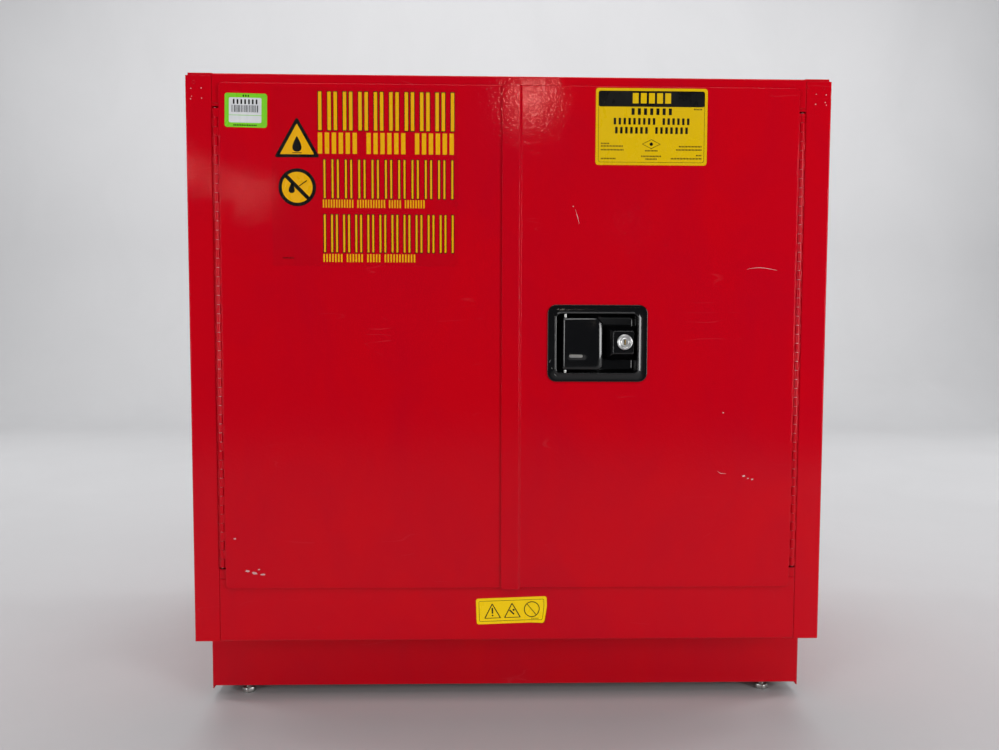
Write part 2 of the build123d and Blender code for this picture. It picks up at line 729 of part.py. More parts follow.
# ---- vents and ground point ------------------------------------------------------------
hole_rings = ((0.0, 1), (5.5, 6), (11.0, 12), (16.5, 18), (21.5, 24))
for name, (x, z) in vents.items():
    with BuildPart() as vent_bung:
        rod((x, inner_back_y - sheet, z), (x, back + 2.4, z), vent_radius + 3)
        rod((x, back, z), (x, back + 2.4, z), vent_radius + 9)
        rod((x, inner_back_y - 5, z), (x, back + 5, z), vent_radius, mode=Mode.SUBTRACT)
    save(vent_bung, f"vent_bung_{name}")

    with BuildPart() as vent_cap:
        rod((x, back - 14, z), (x, back + 3, z), vent_radius - running_gap)
        rod((x, back + 2.7, z), (x, back + 11, z), vent_radius + 8)
        block((x - 9, back + 9, z - 9), (x + 9, back + rear_overhang, z + 9))
        fillet(vent_cap.edges().filter_by(Axis.Y), radius=2)
        rod((x, back - 15, z), (x, back, z), vent_radius - 3, mode=Mode.SUBTRACT)
    save(vent_cap, f"vent_cap_{name}")

with BuildPart() as flame_screens:
    for x, z in vents.values():
        rod((x, inner_back_y + 2, z), (x, inner_back_y + 3, z), vent_radius - 0.02)
        with Locations(Plane.XZ.offset(-inner_back_y).shift_origin((x, inner_back_y, z))):
            for ring, count in hole_rings:
                with PolarLocations(ring, count):
                    Cylinder(1.6, 20, mode=Mode.SUBTRACT)
save(flame_screens, "flame_screens")

with BuildPart() as ground_stud:
    rod((stud_x, back - sheet - 4, stud_z), (stud_x, back + nut_face, stud_z), stud_shank)
    rod((stud_x, back + nut_face, stud_z), (stud_x, back + rear_overhang, stud_z), 3.0)
    hexagon((stud_x, back - sheet - 4, stud_z), (stud_x, back - sheet, stud_z), 10)
save(ground_stud, "ground_stud")

with BuildPart() as ground_nut:
    rod((stud_x, back, stud_z), (stud_x, back + 1.2, stud_z), 7)
    hexagon((stud_x, back + 1.2, stud_z), (stud_x, back + nut_face, stud_z), 10)
    rod((stud_x, back - 1, stud_z), (stud_x, back + nut_face + 1, stud_z), stud_shank, mode=Mode.SUBTRACT)
save(ground_nut, "ground_nut")

# ---- labels ----------------------------------------------------------------------------
def label(name, face_y, centre, size, radius, tilt=0.0, thickness=0.3):
    """Thin rounded sheet stuck on a face that looks to the front."""
    with BuildPart() as film:
        with BuildSketch(front_plane(face_y)) as outline:
            with Locations(Location((*centre, 0), (0, 0, tilt))):
                RectangleRounded(*size, radius=radius)
        extrude(outline.sketch, amount=thickness)
    save(film, name)


label("rating_label", door_face_y, (193.0, 834.9), (154.1, 104.2), 4.0)
label("hazard_decal", door_face_y, (-200.0, 763.2), (254.0, 241.2), 2.0, thickness=0.2)
label("asset_tag", door_face_y, (-361.2, 852.0), (57.3, 45.6), 3.5, tilt=-1.0)
label("sill_label", front, (3.4, 156.8), (100.7, 37.2), 3.0, tilt=2.0)
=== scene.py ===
"""Looks of an undercounter flammable storage cabinet, built around its CAD frame.

Shapes are drawn in millimetres, as the maker's drawing is, and scaled to metres as each
piece is finished.  The doors face -Y, +X is to the right, and the floor is at z = 0.
"""

import json
from math import atan2, cos, hypot, pi, radians, sin
from random import Random

import bmesh
import bpy
from mathutils import Matrix, Vector


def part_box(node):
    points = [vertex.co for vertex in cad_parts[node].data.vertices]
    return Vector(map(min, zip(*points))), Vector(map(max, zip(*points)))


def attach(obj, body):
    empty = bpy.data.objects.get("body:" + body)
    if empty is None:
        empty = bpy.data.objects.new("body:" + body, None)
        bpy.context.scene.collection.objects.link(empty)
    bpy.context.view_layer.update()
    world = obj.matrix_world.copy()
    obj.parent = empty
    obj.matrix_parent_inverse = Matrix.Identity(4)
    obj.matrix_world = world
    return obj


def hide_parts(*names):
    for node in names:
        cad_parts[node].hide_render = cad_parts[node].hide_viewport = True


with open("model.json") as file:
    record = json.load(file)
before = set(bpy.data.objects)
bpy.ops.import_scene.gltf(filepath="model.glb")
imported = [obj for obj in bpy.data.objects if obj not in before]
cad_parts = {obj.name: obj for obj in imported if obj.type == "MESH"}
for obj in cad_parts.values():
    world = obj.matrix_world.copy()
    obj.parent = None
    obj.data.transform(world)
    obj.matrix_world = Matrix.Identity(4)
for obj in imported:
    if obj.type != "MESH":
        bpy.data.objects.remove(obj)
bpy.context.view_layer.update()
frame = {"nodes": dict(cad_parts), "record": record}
nodes = frame["nodes"]

MM = 0.001


def cad(node):
    """Lowest and highest corner of a CAD node, in millimetres."""
    low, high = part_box(node)
    return low / MM, high / MM


def front_mid(low, high):
    """Middle of a box as seen from the front, as (across, up)."""
    return (low.x + high.x) / 2, (low.z + high.z) / 2


shell_front = cad("outer_side_left")[0].y
door_front = cad("left_door_skin")[0].y


# ---- mesh helpers ------------------------------------------------------------------
def rounded_box(centre, size, radius, steps=6):
    """Outline of a rectangle with round corners, anticlockwise, as (across, up) points."""
    cx, cz = centre
    w, h = size[0] / 2 - radius, size[1] / 2 - radius
    points = []
    for corner, (sx, sz) in enumerate(((1, 1), (-1, 1), (-1, -1), (1, -1))):
        for i in range(steps + 1):
            a = (corner + i / steps) * pi / 2
            points.append((cx + sx * w + radius * cos(a), cz + sz * h + radius * sin(a)))
    return points


def cut_corner_box(centre, size, cuts, radius=1.5, steps=3):
    """Rectangle outline from the top right; a corner is cut at 45 degrees, or rounded if its cut is 0."""
    cx, cz = centre
    w, h = size[0] / 2, size[1] / 2
    points = []
    for corner, (sx, sz) in enumerate(((1, 1), (-1, 1), (-1, -1), (1, -1))):
        cut = cuts[corner]
        if cut:
            ends = [(cx + sx * w, cz + sz * (h - cut)), (cx + sx * (w - cut), cz + sz * h)]
            points += ends if corner % 2 == 0 else ends[::-1]
        else:
            for i in range(steps + 1):
                a = (corner + i / steps) * pi / 2
                points.append((cx + sx * (w - radius) + radius * cos(a),
                               cz + sz * (h - radius) + radius * sin(a)))
    return points


def circle(centre, radius, steps=32):
    """Outline of a circle, anticlockwise."""
    return [
        (centre[0] + radius * cos(2 * pi * i / steps), centre[1] + radius * sin(2 * pi * i / steps))
        for i in range(steps)
    ]


def at_depth(outline, y):
    """An outline in X and Z, set at one depth."""
    return [(x, y, z) for x, z in outline]


def skin_loops(bm, loops, close=True):
    """Walls between loops of equal length; with close, the first and last are filled."""
    rings = [[bm.verts.new(p) for p in loop] for loop in loops]
    for one, two in zip(rings, rings[1:]):
        for i in range(len(one)):
            j = (i + 1) % len(one)
            bm.faces.new((one[i], one[j], two[j], two[i]))
    if close:
        bm.faces.new(rings[0])
        bm.faces.new(list(reversed(rings[-1])))
    return rings


def skin_round(bm, loops):
    """Walls from loop to loop and back to the first, as a closed ring has."""
    skin_loops(bm, loops + loops[:1], close=False)
    bmesh.ops.remove_doubles(bm, verts=bm.verts, dist=1e-5)


def plate(bm, outline, back, face):
    """Flat closed plate between two depths."""
    skin_loops(bm, [at_depth(outline, back), at_depth(outline, face)])


def block(bm, low, high):
    """Plain box between two corners."""
    corners = [(low[0], low[2]), (high[0], low[2]), (high[0], high[2]), (low[0], high[2])]
    plate(bm, corners, high[1], low[1])


def frame_band(bm, outer, inner, back, face):
    """Flat closed ring between two outlines."""
    skin_round(bm, [at_depth(outer, back), at_depth(outer, face),
                    at_depth(inner, face), at_depth(inner, back)])


def turned(bm, centre, profile, axis="Y", steps=48):
    """Turned shape about an axis through centre; profile is (radius, along) pairs."""
    loops = []
    for radius, along in profile:
        ring = []
        for i in range(steps):
            a = 2 * pi * i / steps
            u, v = radius * cos(a), radius * sin(a)
            if axis == "Y":
                ring.append((centre[0] + u, centre[1] + along, centre[2] + v))
            else:
                ring.append((centre[0] + u, centre[1] + v, centre[2] + along))
        loops.append(ring)
    skin_loops(bm, loops)


def soften(bm, width, segments=2, angle=40):
    """Rounds every edge that turns by more than the angle."""
    sharp = [e for e in bm.edges if len(e.link_faces) == 2 and e.calc_face_angle() > radians(angle)]
    bmesh.ops.bevel(bm, geom=sharp, offset=width, segments=segments, affect="EDGES", clamp_overlap=True)


def tilt(bm, centre, degrees):
    """Turns the whole drawing in the front plane, anticlockwise."""
    pivot = Matrix.Translation((centre[0], 0, centre[1]))
    turn = pivot @ Matrix.Rotation(radians(-degrees), 4, "Y") @ pivot.inverted()
    bmesh.ops.transform(bm, matrix=turn, verts=bm.verts)


def piece(name, bm, material, body, replaces=(), crease=38):
    """Finishes a drawing as an object of the cabinet, in metres, riding on its body."""
    bmesh.ops.recalc_face_normals(bm, faces=bm.faces)
    bmesh.ops.scale(bm, vec=(MM, MM, MM), verts=bm.verts)
    for face in bm.faces:
        face.smooth = True
    for edge in bm.edges:
        edge.smooth = len(edge.link_faces) == 2 and edge.calc_face_angle() < radians(crease)
    mesh = bpy.data.meshes.new(name)
    bm.to_mesh(mesh)
    bm.free()
    mesh.materials.append(material)
    obj = bpy.data.objects.new(name, mesh)
    bpy.context.scene.collection.objects.link(obj)
    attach(obj, body)
    if replaces:
        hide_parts(*replaces)


# ---- shader groups -----------------------------------------------------------------
def add_node(tree, kind, values=(), **settings):
    """A node with values on its sockets, and settings on the node itself."""
    made = tree.nodes.new(kind)
    for name, value in settings.items():
        setattr(made, name, value)
    for key, value in dict(values).items():
        made.inputs[key].default_value = value
    return made


def new_group(name, inputs, outputs):
    """An empty group with its sockets: the tree, its input node and its output node."""
    tree = bpy.data.node_groups.new(name, "ShaderNodeTree")
    for label, value in inputs.items():
        socket = tree.interface.new_socket(label, in_out="INPUT", socket_type="NodeSocketFloat")
        socket.default_value = value
    for label, kind in outputs.items():
        tree.interface.new_socket(label, in_out="OUTPUT", socket_type=kind)
    return tree, tree.nodes.new("NodeGroupInput"), tree.nodes.new("NodeGroupOutput")


def combine(tree, operation, one, two, **settings):
    """Arithmetic on two sockets."""
    made = add_node(tree, "ShaderNodeMath", operation=operation, **settings)
    tree.links.new(one, made.inputs[0])
    tree.links.new(two, made.inputs[1])
    return made.outputs[0]


def paint_skin_group():
    """Sprayed enamel: fine orange peel, whose crests are glossier, over sheet metal never quite flat."""
    inputs = {"Peel Scale": 420.0, "Peel Height": 1.0, "Wave Scale": 7.0, "Wave Height": 1.0}
    outputs = {"Height": "NodeSocketFloat", "Crests": "NodeSocketFloat"}
    tree, given, out = new_group("Paint skin", inputs, outputs)
    link = tree.links.new
    place = add_node(tree, "ShaderNodeTexCoord")
    peel = add_node(tree, "ShaderNodeTexNoise", {"Detail": 0.5, "Roughness": 0.4})
    wave = add_node(tree, "ShaderNodeTexNoise", {"Detail": 0.0})
    crests = add_node(tree, "ShaderNodeMapRange", {"From Min": 0.54, "From Max": 0.6})
    link(peel.outputs["Fac"], crests.inputs["Value"])
    link(crests.outputs["Result"], out.inputs["Crests"])
    parts = []
    for texture, label in ((peel, "Peel"), (wave, "Wave")):
        link(place.outputs["Object"], texture.inputs["Vector"])
        link(given.outputs[f"{label} Scale"], texture.inputs["Scale"])
        parts.append(combine(tree, "MULTIPLY", texture.outputs["Fac"], given.outputs[f"{label} Height"]))
    link(combine(tree, "ADD", *parts), out.inputs["Height"])
    return tree


def edge_rub_and_highlight_group():
    """Where an edge turns: a rounded normal, and a mask broken up like rubbed paint; enamel lightens edges by
    it, partly as rubbed paint and partly as a painted highlight.
    """
    outputs = {"Mask": "NodeSocketFloat", "Normal": "NodeSocketVector"}
    tree, given, out = new_group("Edge wear", {"Radius": 0.0012, "Wear": 1.0}, outputs)
    place = add_node(tree, "ShaderNodeTexCoord")
    rounded = add_node(tree, "ShaderNodeBevel", samples=4)
    flat = add_node(tree, "ShaderNodeNewGeometry")
    agree = add_node(tree, "ShaderNodeVectorMath", operation="DOT_PRODUCT")
    turn = add_node(tree, "ShaderNodeMapRange", {"From Min": 0.995, "From Max": 0.85})
    patches = add_node(tree, "ShaderNodeTexNoise", {"Scale": 60.0, "Detail": 6.0, "Roughness": 0.7})
    broken = add_node(tree, "ShaderNodeMapRange", {"From Min": 0.42, "From Max": 0.62})
    link = tree.links.new
    link(given.outputs["Radius"], rounded.inputs["Radius"])
    link(rounded.outputs["Normal"], agree.inputs[0])
    link(flat.outputs["Normal"], agree.inputs[1])
    link(agree.outputs["Value"], turn.inputs["Value"])
    link(place.outputs["Object"], patches.inputs["Vector"])
    link(patches.outputs["Fac"], broken.inputs["Value"])
    both = combine(tree, "MULTIPLY", turn.outputs["Result"], broken.outputs["Result"])
    link(combine(tree, "MULTIPLY", both, given.outputs["Wear"]), out.inputs["Mask"])
    link(rounded.outputs["Normal"], out.inputs["Normal"])
    return tree


def smudge_group():
    """Soft cloudy patches, as wiped dust and handling leave on a gloss surface."""
    inputs = {"Scale": 9.0, "Low": 0.35, "High": 0.7}
    tree, given, out = new_group("Smudges", inputs, {"Mask": "NodeSocketFloat"})
    place = add_node(tree, "ShaderNodeTexCoord")
    stretch = add_node(tree, "ShaderNodeMapping", {"Scale": (1.0, 1.0, 0.55)})
    cloud = add_node(tree, "ShaderNodeTexNoise", {"Detail": 5.0, "Roughness": 0.62, "Distortion": 0.6})
    level = add_node(tree, "ShaderNodeMapRange")
    link = tree.links.new
    link(place.outputs["Object"], stretch.inputs["Vector"])
    link(stretch.outputs["Vector"], cloud.inputs["Vector"])
    link(given.outputs["Scale"], cloud.inputs["Scale"])
    link(cloud.outputs["Fac"], level.inputs["Value"])
    link(given.outputs["Low"], level.inputs["From Min"])
    link(given.outputs["High"], level.inputs["From Max"])
    link(level.outputs["Result"], out.inputs["Mask"])
    return tree


def scratch_group():
    """Sparse hairline scratches: the thin middle level of a stretched, bent noise."""
    inputs = {"Scale": 14.0, "Width": 0.004, "Amount": 1.0}
    tree, given, out = new_group("Scratches", inputs, {"Mask": "NodeSocketFloat"})
    place = add_node(tree, "ShaderNodeTexCoord")
    slant = add_node(tree, "ShaderNodeMapping", {"Rotation": (0.2, 0.7, 0.1), "Scale": (0.25, 1.0, 1.7)})
    lines = add_node(tree, "ShaderNodeTexNoise", {"Detail": 2.0, "Distortion": 0.3})
    spots = add_node(tree, "ShaderNodeTexNoise", {"Scale": 16.0, "Detail": 3.0})
    middle = add_node(tree, "ShaderNodeMath", {1: 0.5}, operation="SUBTRACT")
    size = add_node(tree, "ShaderNodeMath", operation="ABSOLUTE")
    where = add_node(tree, "ShaderNodeMapRange", {"From Min": 0.6, "From Max": 0.68})
    link = tree.links.new
    link(place.outputs["Object"], slant.inputs["Vector"])
    link(slant.outputs["Vector"], lines.inputs["Vector"])
    link(given.outputs["Scale"], lines.inputs["Scale"])
    link(place.outputs["Object"], spots.inputs["Vector"])
    link(lines.outputs["Fac"], middle.inputs[0])
    link(middle.outputs[0], size.inputs[0])
    link(spots.outputs["Fac"], where.inputs["Value"])
    thin = combine(tree, "LESS_THAN", size.outputs[0], given.outputs["Width"])
    both = combine(tree, "MULTIPLY", thin, where.outputs["Result"])
    link(combine(tree, "MULTIPLY", both, given.outputs["Amount"]), out.inputs["Mask"])
    return tree


PAINT_SKIN = paint_skin_group()
EDGE_RUB_AND_HIGHLIGHT = edge_rub_and_highlight_group()
SMUDGES = smudge_group()
SCRATCHES = scratch_group()


# ---- materials ---------------------------------------------------------------------
def use_group(tree, group, **values):
    """A group in a material; the values name its sockets."""
    made = add_node(tree, "ShaderNodeGroup", node_tree=group)
    for name, value in values.items():
        made.inputs[name.replace("_", " ").title()].default_value = value
    return made


def new_material(name, **settings):
    """A material with a Principled surface; the settings name its sockets."""
    material = bpy.data.materials.new(name)
    material.use_nodes = True
    shader = material.node_tree.nodes["Principled BSDF"]
    for label, value in settings.items():
        shader.inputs[label.replace("_", " ").title().replace("Ior", "IOR")].default_value = value
    return material, material.node_tree, shader


def mix_colour(tree, mask, one, two):
    """Colour one where the mask is 0, two where it is 1; either may be a socket."""
    mix = add_node(tree, "ShaderNodeMix", data_type="RGBA")
    tree.links.new(mask, mix.inputs["Factor"])
    for socket, colour in ((mix.inputs[6], one), (mix.inputs[7], two)):    # its two colour inputs
        if isinstance(colour, bpy.types.NodeSocket):
            tree.links.new(colour, socket)
        else:
            socket.default_value = (*colour, 1)
    return mix.outputs[2]


def ranged(tree, mask, low, high):
    """Spreads a mask of 0 to 1 over low to high."""
    spread = add_node(tree, "ShaderNodeMapRange", {"To Min": low, "To Max": high})
    tree.links.new(mask, spread.inputs["Value"])
    return spread.outputs["Result"]


def dress(tree, shader, tone, roughness, skin, edges=None):
    """Joins a colour, a roughness and a bumped skin to the shader."""
    bump = add_node(tree, "ShaderNodeBump", {"Strength": 1.0, "Distance": 1.0})
    link = tree.links.new
    link(tone, shader.inputs["Base Color"])
    link(roughness, shader.inputs["Roughness"])
    link(skin.outputs["Height"], bump.inputs["Height"])
    if edges is not None:
        link(edges.outputs["Normal"], bump.inputs["Normal"])
    link(bump.outputs["Normal"], shader.inputs["Normal"])


def enamel(name, colour, shade, edge, rough, peel, wave, peel_scale=420.0, scratch=0.5, edge_radius=0.0012,
           wear=1.0, hollows=1.0, **settings):
    """Sprayed paint: two tones in soft patches, lighter edges (partly rubbed paint, partly a painted
    highlight), hairline scratches.

    The hollows of the orange peel are rougher than its crests, by the factor given.
    """
    material, tree, shader = new_material(name, **settings)
    smudges = use_group(tree, SMUDGES)
    edges = use_group(tree, EDGE_RUB_AND_HIGHLIGHT, radius=edge_radius, wear=wear)
    lines = use_group(tree, SCRATCHES, amount=scratch)
    skin = use_group(tree, PAINT_SKIN, peel_scale=peel_scale, peel_height=peel, wave_height=wave)
    tone = mix_colour(tree, smudges.outputs["Mask"], colour, shade)
    # edges lightened by the mask: partly rubbed paint, partly a painted highlight
    tone = mix_colour(tree, edges.outputs["Mask"], tone, edge)
    tone = mix_colour(tree, lines.outputs["Mask"], tone, edge)
    roughness = combine(tree, "MULTIPLY", ranged(tree, smudges.outputs["Mask"], *rough),
                        ranged(tree, skin.outputs["Crests"], hollows, 1.0))
    dress(tree, shader, tone, roughness, skin, edges)
    return material


def plated(name, colour, shade, rough, grain=900.0, depth=0.000012, wear=0.6, **settings):
    """Plated or bare metal with a fine grain and darker handled patches."""
    material, tree, shader = new_material(name, metallic=1.0, **settings)
    smudges = use_group(tree, SMUDGES, scale=60.0)
    edges = use_group(tree, EDGE_RUB_AND_HIGHLIGHT, radius=0.0006, wear=wear)
    skin = use_group(tree, PAINT_SKIN, peel_scale=grain, peel_height=depth, wave_height=0.0)
    tone = mix_colour(tree, smudges.outputs["Mask"], colour, shade)
    dress(tree, shader, tone, ranged(tree, smudges.outputs["Mask"], *rough), skin, edges)
    return material


def printed(name, colour, shade, rough=(0.22, 0.36), **settings):
    """Printed vinyl or ink: nearly even colour with faint mottling."""
    material, tree, shader = new_material(name, **settings)
    smudges = use_group(tree, SMUDGES, scale=35.0)
    skin = use_group(tree, PAINT_SKIN, peel_scale=500.0, peel_height=0.00001, wave_height=0.00003,
                     wave_scale=30.0)
    tone = mix_colour(tree, smudges.outputs["Mask"], colour, shade)
    dress(tree, shader, tone, ranged(tree, smudges.outputs["Mask"], *rough), skin)
    return material


def clear_film(name):
    """Clear vinyl: only its gloss and a faint cast are seen."""
    material, tree, shader = new_material(name, ior=1.45)
    smudges = use_group(tree, SMUDGES, scale=14.0)
    edges = use_group(tree, EDGE_RUB_AND_HIGHLIGHT, radius=0.0006, wear=1.0)
    link = tree.links.new
    faint = ranged(tree, smudges.outputs["Mask"], 0.02, 0.05)
    at_edges = ranged(tree, edges.outputs["Mask"], 0.0, 0.3)
    link(combine(tree, "ADD", faint, at_edges, use_clamp=True), shader.inputs["Alpha"])
    cast = mix_colour(tree, smudges.outputs["Mask"], (0.40, 0.001, 0.008), (0.42, 0.01, 0.02))
    link(cast, shader.inputs["Base Color"])
    link(ranged(tree, smudges.outputs["Mask"], 0.1, 0.2), shader.inputs["Roughness"])
    return material


RED = enamel("red_enamel", (0.515, 0.0003, 0.0062), (0.465, 0.0003, 0.0085), (0.62, 0.08, 0.1), (0.045, 0.06),
             peel=0.00011, wave=0.0008, peel_scale=340.0, scratch=0.1, wear=0.35, hollows=1.5,
             ior=1.32, specular_tint=(1.0, 0.6, 0.66, 1.0))
RED_INSIDE = enamel("red_enamel_inside", (0.46, 0.0006, 0.005), (0.40, 0.0006, 0.007), (0.6, 0.08, 0.1),
                    (0.16, 0.26), peel=0.00006, wave=0.0008, scratch=0.1, wear=0.3, ior=1.45)
BLACK = enamel("black_gloss", (0.0016, 0.0016, 0.0018), (0.003, 0.003, 0.0034), (0.03, 0.03, 0.032),
               (0.1, 0.17), peel=0.00001, wave=0.0, peel_scale=700.0, scratch=0.3, edge_radius=0.0005,
               wear=0.3, ior=1.5)
ZINC = plated("zinc_plate", (0.62, 0.62, 0.6), (0.42, 0.42, 0.4), (0.25, 0.42))
CHROME = plated("chrome", (0.8, 0.8, 0.8), (0.66, 0.66, 0.65), (0.26, 0.38), depth=0.000004)
BRASS = plated("brass", (0.72, 0.5, 0.2), (0.5, 0.34, 0.14), (0.25, 0.4))
IRON = enamel("vent_casting", (0.03, 0.03, 0.032), (0.05, 0.048, 0.045), (0.2, 0.2, 0.2), (0.4, 0.6),
              peel=0.0002, wave=0.0, peel_scale=300.0, scratch=0.3, wear=0.7, ior=1.45)
YELLOW = printed("yellow_vinyl", (0.68, 0.44, 0.0003), (0.64, 0.41, 0.0003), ior=1.35)
BRIGHT_YELLOW = printed("bright_yellow_vinyl", (0.90, 0.60, 0.0003), (0.86, 0.57, 0.0003), ior=1.35)
AMBER = printed("amber_ink", (0.76, 0.39, 0.0005), (0.72, 0.36, 0.0005), ior=1.4)
INK = printed("black_ink", (0.004, 0.004, 0.004), (0.008, 0.008, 0.008), ior=1.28)
GREEN = printed("green_vinyl", (0.19, 0.60, 0.012), (0.17, 0.54, 0.012))
WHITE = printed("white_vinyl", (0.66, 0.67, 0.69), (0.58, 0.59, 0.61))
GREY_INK = printed("grey_ink", (0.07, 0.075, 0.08), (0.1, 0.105, 0.11))
# pale pink: bare primer in the door chips, and a painted highlight on the flange spatter
PRIMER_AND_GLINT = printed("bare_primer_and_glint", (0.55, 0.3, 0.3), (0.6, 0.42, 0.4), rough=(0.5, 0.7))
FILM = clear_film("clear_vinyl")
# near-black filling for holes and slots: painted shade, not print
SHADOW = printed("dark_hollow", (0.002, 0.002, 0.002), (0.003, 0.003, 0.003), rough=(0.6, 0.8))

FINISHES = {
    "red_paint": RED,
    "inner_paint": RED_INSIDE,
    "zinc_steel": ZINC,
    "black_gloss": BLACK,
    "chrome_lock": CHROME,
    "brass_nut": BRASS,
    "vent_iron": IRON,
    "yellow_label": YELLOW,
    "clear_decal": FILM,
    "tag_paper": GREEN,
}
for part in frame["record"]["subparts"]:
    mesh = nodes[part["node"]].data
    mesh.materials.clear()
    mesh.materials.append(FINISHES[part["material_slot"]])


# ---- paddle latch --------------------------------------------------------------------
latch_low, latch_high = cad("latch_dish")
latch_mid = front_mid(latch_low, latch_high)
latch_size = (latch_high.x - latch_low.x, latch_high.z - latch_low.z)
tub_mid = (latch_mid[0] - 0.85, latch_mid[1] - 0.15)
tub_size = (113.1, 82.1)
tub_floor = latch_high.y - 1.5


def grown(mid, size, by):
    """A rectangle's middle and its size, larger both ways."""
    return mid, (size[0] + by, size[1] + by)


def build_dish():
    """Pressed dish: flat flange, raised rolled rim, deep tub, closed behind."""
    bm = bmesh.new()
    flange_face = door_front - 2.0
    # each row: how much larger than the flange or the tub, corner radius, rise off the flange
    flange = [(0.0, 12.0, -0.9), (-0.24, 11.9, -0.45), (-0.8, 11.6, -0.12), (-1.7, 11.2, 0.0),
              (-3.0, 10.5, 0.0)]
    rim = [(5.2, 8.4, 0.0), (4.4, 8.1, 0.3), (3.2, 7.8, 0.8), (2.6, 7.6, 0.94), (2.2, 7.5, 0.94),
           (0.7, 6.8, 0.52), (0.2, 6.5, -0.3), (0.0, 6.4, -1.6), (-1.6, 6.0, -16.0),
           (-2.6, 5.8, -19.0), (-4.8, 5.0, -21.3), (-8.2, 4.0, -22.9), (-11.2, 3.0, -23.35)]
    loops = [at_depth(rounded_box(latch_mid, latch_size, 12.0), door_front)]
    for mid, size, rows in ((latch_mid, latch_size, flange), (tub_mid, tub_size, rim)):
        for by, radius, rise in rows:
            loops.append(at_depth(rounded_box(*grown(mid, size, by), radius), flange_face - rise))
    front_side = skin_loops(bm, loops, close=False)
    behind = [
        at_depth(rounded_box(*grown(tub_mid, tub_size, 3.0), 7.5), door_front),
        at_depth(rounded_box(*grown(tub_mid, tub_size, 2.6), 7.5), latch_high.y - 2),
        at_depth(rounded_box(*grown(tub_mid, tub_size, -1.0), 6.0), latch_high.y),
    ]
    back_side = skin_loops(bm, behind, close=False)
    outer, inner = front_side[0], back_side[0]
    for i in range(len(outer)):
        j = (i + 1) % len(outer)
        bm.faces.new((outer[i], outer[j], inner[j], inner[i]))
    bm.faces.new(front_side[-1])
    bm.faces.new(back_side[-1])
    piece("latch_dish_pressed", bm, BLACK, "right_door", ["latch_dish"])


boss_low, boss_high = (131.0, 513.0), (176.6, 562.0)
boss_face_low, boss_face_high = (143.8, 522.7), (171.6, 554.0)
boss_face_y = latch_low.y + 0.5


def between(low, high):
    """Middle and size of the rectangle between two corners."""
    return ((low[0] + high[0]) / 2, (low[1] + high[1]) / 2), (high[0] - low[0], high[1] - low[1])


def build_boss():
    """Sloped lock boss pressed up from the tub's floor."""
    bm = bmesh.new()
    loops = []
    base_y = tub_floor + 0.6
    slope = [(0.0, 0.0), (0.03, 0.42), (0.07, 0.5), (0.14, 0.55), (0.86, 0.92), (0.95, 0.985), (1.0, 1.0)]
    for share, rise in slope:
        low = [a + (b - a) * share for a, b in zip(boss_low, boss_face_low)]
        high = [a + (b - a) * share for a, b in zip(boss_high, boss_face_high)]
        y = base_y + (boss_face_y - base_y) * rise
        loops.append(at_depth(rounded_box(*between(low, high), 2.2), y))
    low = [v + 1.2 for v in boss_face_low]
    high = [v - 1.2 for v in boss_face_high]
    loops.append(at_depth(rounded_box(*between(low, high), 1.4), boss_face_y - 0.15))
    skin_loops(bm, loops)
    piece("lock_boss", bm, BLACK, "right_door")


paddle_low, paddle_high = cad("paddle")
paddle_roll = 8.0


def build_paddle():
    """Pressed paddle: crowned face, bends all round, the free edge rolled over wider."""
    bm = bmesh.new()
    face_y = paddle_low.y
    skirt = paddle_high.y - 1.0
    edge_low, edge_high = (paddle_low.x, paddle_low.z), (paddle_high.x, paddle_high.z)
    flat_low = (paddle_low.x + 3.2, paddle_low.z + 3.8)
    flat_high = (paddle_high.x - paddle_roll, paddle_high.z - 3.8)

    def ring(share, inset, y):
        low = [a + (b - a) * share + inset for a, b in zip(edge_low, flat_low)]
        high = [a + (b - a) * share - inset for a, b in zip(edge_high, flat_high)]
        cut = 4.0 + 4.0 * (1 - share)
        return at_depth(cut_corner_box(*between(low, high), (cut, 0, 0, 0.6 * cut)), y)

    bend = 4.5
    press = [(1.0, 0.0), (0.92, 0.06), (0.84, 0.2), (0.3, 1.1), (0.14, 1.9), (0.04, 3.0), (0.0, bend)]
    loops = [ring(share, 0.0, face_y + drop) for share, drop in press]
    loops.append(ring(0.0, 0.0, skirt))
    loops.append(ring(0.0, 1.4, skirt))
    loops.append(ring(0.0, 1.4, face_y + bend + 1))
    loops.append(ring(0.8, 1.0, face_y + 1.6))
    skin_loops(bm, loops)
    low_y, high_y = face_y + 3.5, paddle_high.y
    for z in (paddle_low.z + 1.5, paddle_high.z - 3.1):
        block(bm, (paddle_low.x + 1.6, low_y, z), (paddle_low.x + 13, high_y, z + 1.6))
    piece("paddle_pressed", bm, BLACK, "paddle", ["paddle"])

    bm = bmesh.new()
    slot_mid = (paddle_low.x + 20.5, paddle_low.z + 18.2)
    outer, inner = rounded_box(slot_mid, (27, 9), 4.4), rounded_box(slot_mid, (24, 6.4), 3.1)
    # near-black plate filling the slot: painted shade for the dark behind it
    plate(bm, inner, face_y + 0.4, face_y - 0.05)
    piece("paddle_slot", bm, SHADOW, "paddle")
    bm = bmesh.new()
    skin_round(bm, [at_depth(outer, face_y + 0.3), at_depth(outer, face_y - 0.1),
                    at_depth(inner, face_y - 0.45), at_depth(inner, face_y + 0.3)])
    soften(bm, 0.12)
    piece("paddle_slot_rim", bm, BLACK, "paddle")
    bm = bmesh.new()
    tongue = (slot_mid[0] - 1.8, slot_mid[1] + 1.2)
    skin_loops(bm, [at_depth(rounded_box(tongue, (19.0, 4.4), 2.1), face_y + 0.2),
                    at_depth(rounded_box(tongue, (18.4, 3.8), 1.8), face_y - 0.35),
                    at_depth(rounded_box(tongue, (15.0, 1.6), 0.7), face_y - 0.6)])
    piece("paddle_tongue", bm, ZINC, "paddle")


lock_low, lock_high = cad("lock_housing")
lock_mid = front_mid(lock_low, lock_high)


